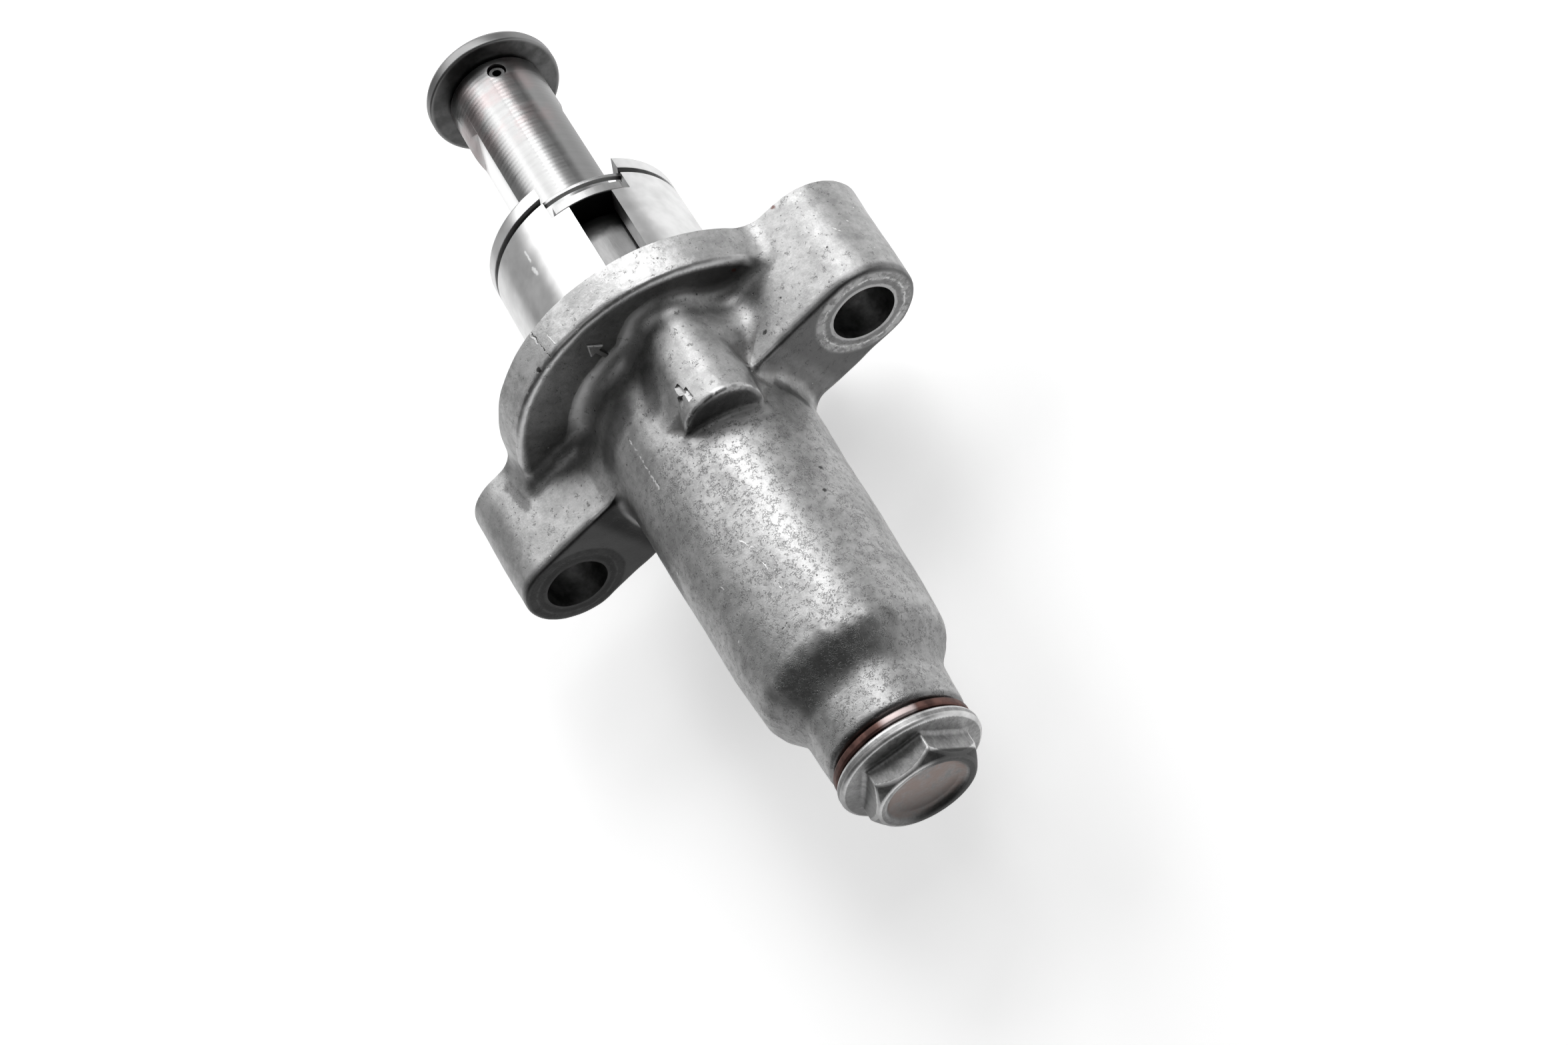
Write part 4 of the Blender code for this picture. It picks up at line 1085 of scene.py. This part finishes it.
def make_tensioner():
    """All visible pieces on their bodies, and new finishes for the nodes that stay."""
    case, moving = "tensioner_case", "plunger"
    plate = sheared_steel("plate_steel", 0.32, 0.5, 0.3, under_plate)
    ring = sheared_steel("ring_steel", 0.34, 0.52, 0.28, in_groove)
    # The sleeve's colours are kept dark as painted shade for where it is seen through the hook's
    # slot
    sleeve = sheared_steel("sleeve_steel", 0.16, 0.3, 0.32, sleeve_top)
    spring = sheared_steel("spring_steel", 0.34, 0.52, 0.28)
    pin = sheared_steel("pin_steel", 0.08, 0.16, 0.4)
    spindle = sheared_steel("spindle_steel", 0.3, 0.45, 0.25)
    dress(make_case(), case, "cast_aluminium", "case", cast_aluminium(), machined_aluminium(),
          hole_wall())
    dress(make_guide_plate(), case, "plate_steel", "guide_plate", plate)
    dress(make_snap_ring(), case, "spring_steel", "snap_ring", ring)
    dress(make_sleeve(), case, "sleeve_steel", "spacer_sleeve", sleeve)
    dress(make_washer(), case, "copper", "seal_washer", used_copper())
    dress(make_bolt(), case, "zinc_steel", "seal_bolt", dull_zinc())
    dress(make_plunger(), moving, "ground_steel", "plunger", ground_steel())
    dress(make_head(), moving, "blackened_steel", "plunger_head", blackened_steel())
    dress(make_pin(), moving, "spring_steel", "head_pin", pin)
    for node, material in (("seat_plate", plate), ("torsion_spring", spring),
                           ("screw_spindle", spindle)):
        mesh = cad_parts[node].data
        mesh.materials.clear()
        mesh.materials.append(material)


# Studio

FLOOR_HALF = 9000
LAMP_DISTANCE = 0.9
# Name, bearing from +Y towards +X and height above level in degrees, side in metres, power in watts
LAMPS = [
    ("right_light", 85, 50, 0.4, 1.6),
    ("middle_light", 42, 44, 0.34, 2.5),
    ("back_light", 8, 42, 0.4, 1.2),
    ("left_back_light", 338, 50, 0.4, 1.7),
    ("low_back_light", 0, 20, 0.45, 1.6),
    ("low_right_light", 62, 22, 0.45, 0.6),
    ("left_light", 302, 25, 0.5, 0.5),
    ("top_light", 215, 66, 0.3, 0.3),
]


def soft_light(name, bearing, height, size, power):
    """A square light that faces the tensioner."""
    light = bpy.data.lights.new(name, "AREA")
    light.shape = "SQUARE"
    light.size = size
    light.energy = power
    lamp = bpy.data.objects.new(name, light)
    bpy.context.scene.collection.objects.link(lamp)
    bearing, height = math.radians(bearing), math.radians(height)
    towards = Vector((math.sin(bearing) * math.cos(height), math.cos(bearing) * math.cos(height),
                      math.sin(height)))
    lamp.location = Vector((0, -10 * MM, 0)) + towards * LAMP_DISTANCE
    lamp.rotation_euler = towards.to_track_quat("Z", "Y").to_euler()


def make_studio():
    """A plain floor that is white to the camera and keeps the shadow, a dim world and the lamps."""
    corners = [(-FLOOR_HALF, -FLOOR_HALF, 0), (FLOOR_HALF, -FLOOR_HALF, 0),
               (FLOOR_HALF, FLOOR_HALF, 0), (-FLOOR_HALF, FLOOR_HALF, 0)]
    floor = new_piece("floor", corners, [(0, 1, 2, 3)])
    floor.location = (0, 0, -FLANGE_R * MM)
    paper = bpy.data.materials.new("pale_floor")
    paper.use_nodes = True
    shader = paper.node_tree.nodes["Principled BSDF"]
    shader.inputs["Base Color"].default_value = (0.8, 0.8, 0.8, 1)
    shader.inputs["Roughness"].default_value = 0.9
    rays = Signal.add(paper.node_tree, "LightPath", output="Is Camera Ray")
    seen = rays + rays.output("Is Glossy Ray") + rays.output("Is Transmission Ray")
    whiteness = {0: seen, MIX_A: (0, 0, 0, 1), MIX_B: (0.5, 0.5, 0.5, 1)}
    glow = Signal.add(paper.node_tree, "Mix", {"data_type": "RGBA"}, whiteness, MIX_COLOR)
    paper.node_tree.links.new(glow.socket, shader.inputs["Emission Color"])
    shader.inputs["Emission Strength"].default_value = 1.0
    floor.data.materials.append(paper)
    world = bpy.data.worlds.new("studio")
    world.use_nodes = True
    world.node_tree.nodes["Background"].inputs["Color"].default_value = (0.015, 0.015, 0.015, 1)
    bpy.context.scene.world = world
    for lamp in LAMPS:
        soft_light(*lamp)


IMAGE_WIDTH = 2352
FOCAL_LENGTH = 3499.42


def make_camera():
    """The photograph's camera; its focal length is given in the photograph's pixels."""
    camera = bpy.data.cameras.new("camera")
    camera.sensor_width = 36
    camera.lens = FOCAL_LENGTH / IMAGE_WIDTH * camera.sensor_width
    camera.clip_start = 0.01
    holder = bpy.data.objects.new("camera", camera)
    bpy.context.scene.collection.objects.link(holder)
    right = Vector((0.7049, -0.4496, -0.5486))
    down = Vector((-0.6521, -0.7151, -0.2519))
    forward = Vector((-0.2791, 0.5353, -0.7973))
    turn = Matrix((right, -down, -forward)).transposed().to_4x4()
    holder.matrix_world = Matrix.Translation(Vector((63.47, -141.84, 175.81)) * MM) @ turn
    bpy.context.scene.camera = holder


make_tensioner()
make_studio()
make_camera()
bpy.context.scene.view_settings.view_transform = "Standard"
bpy.context.view_layer.update()
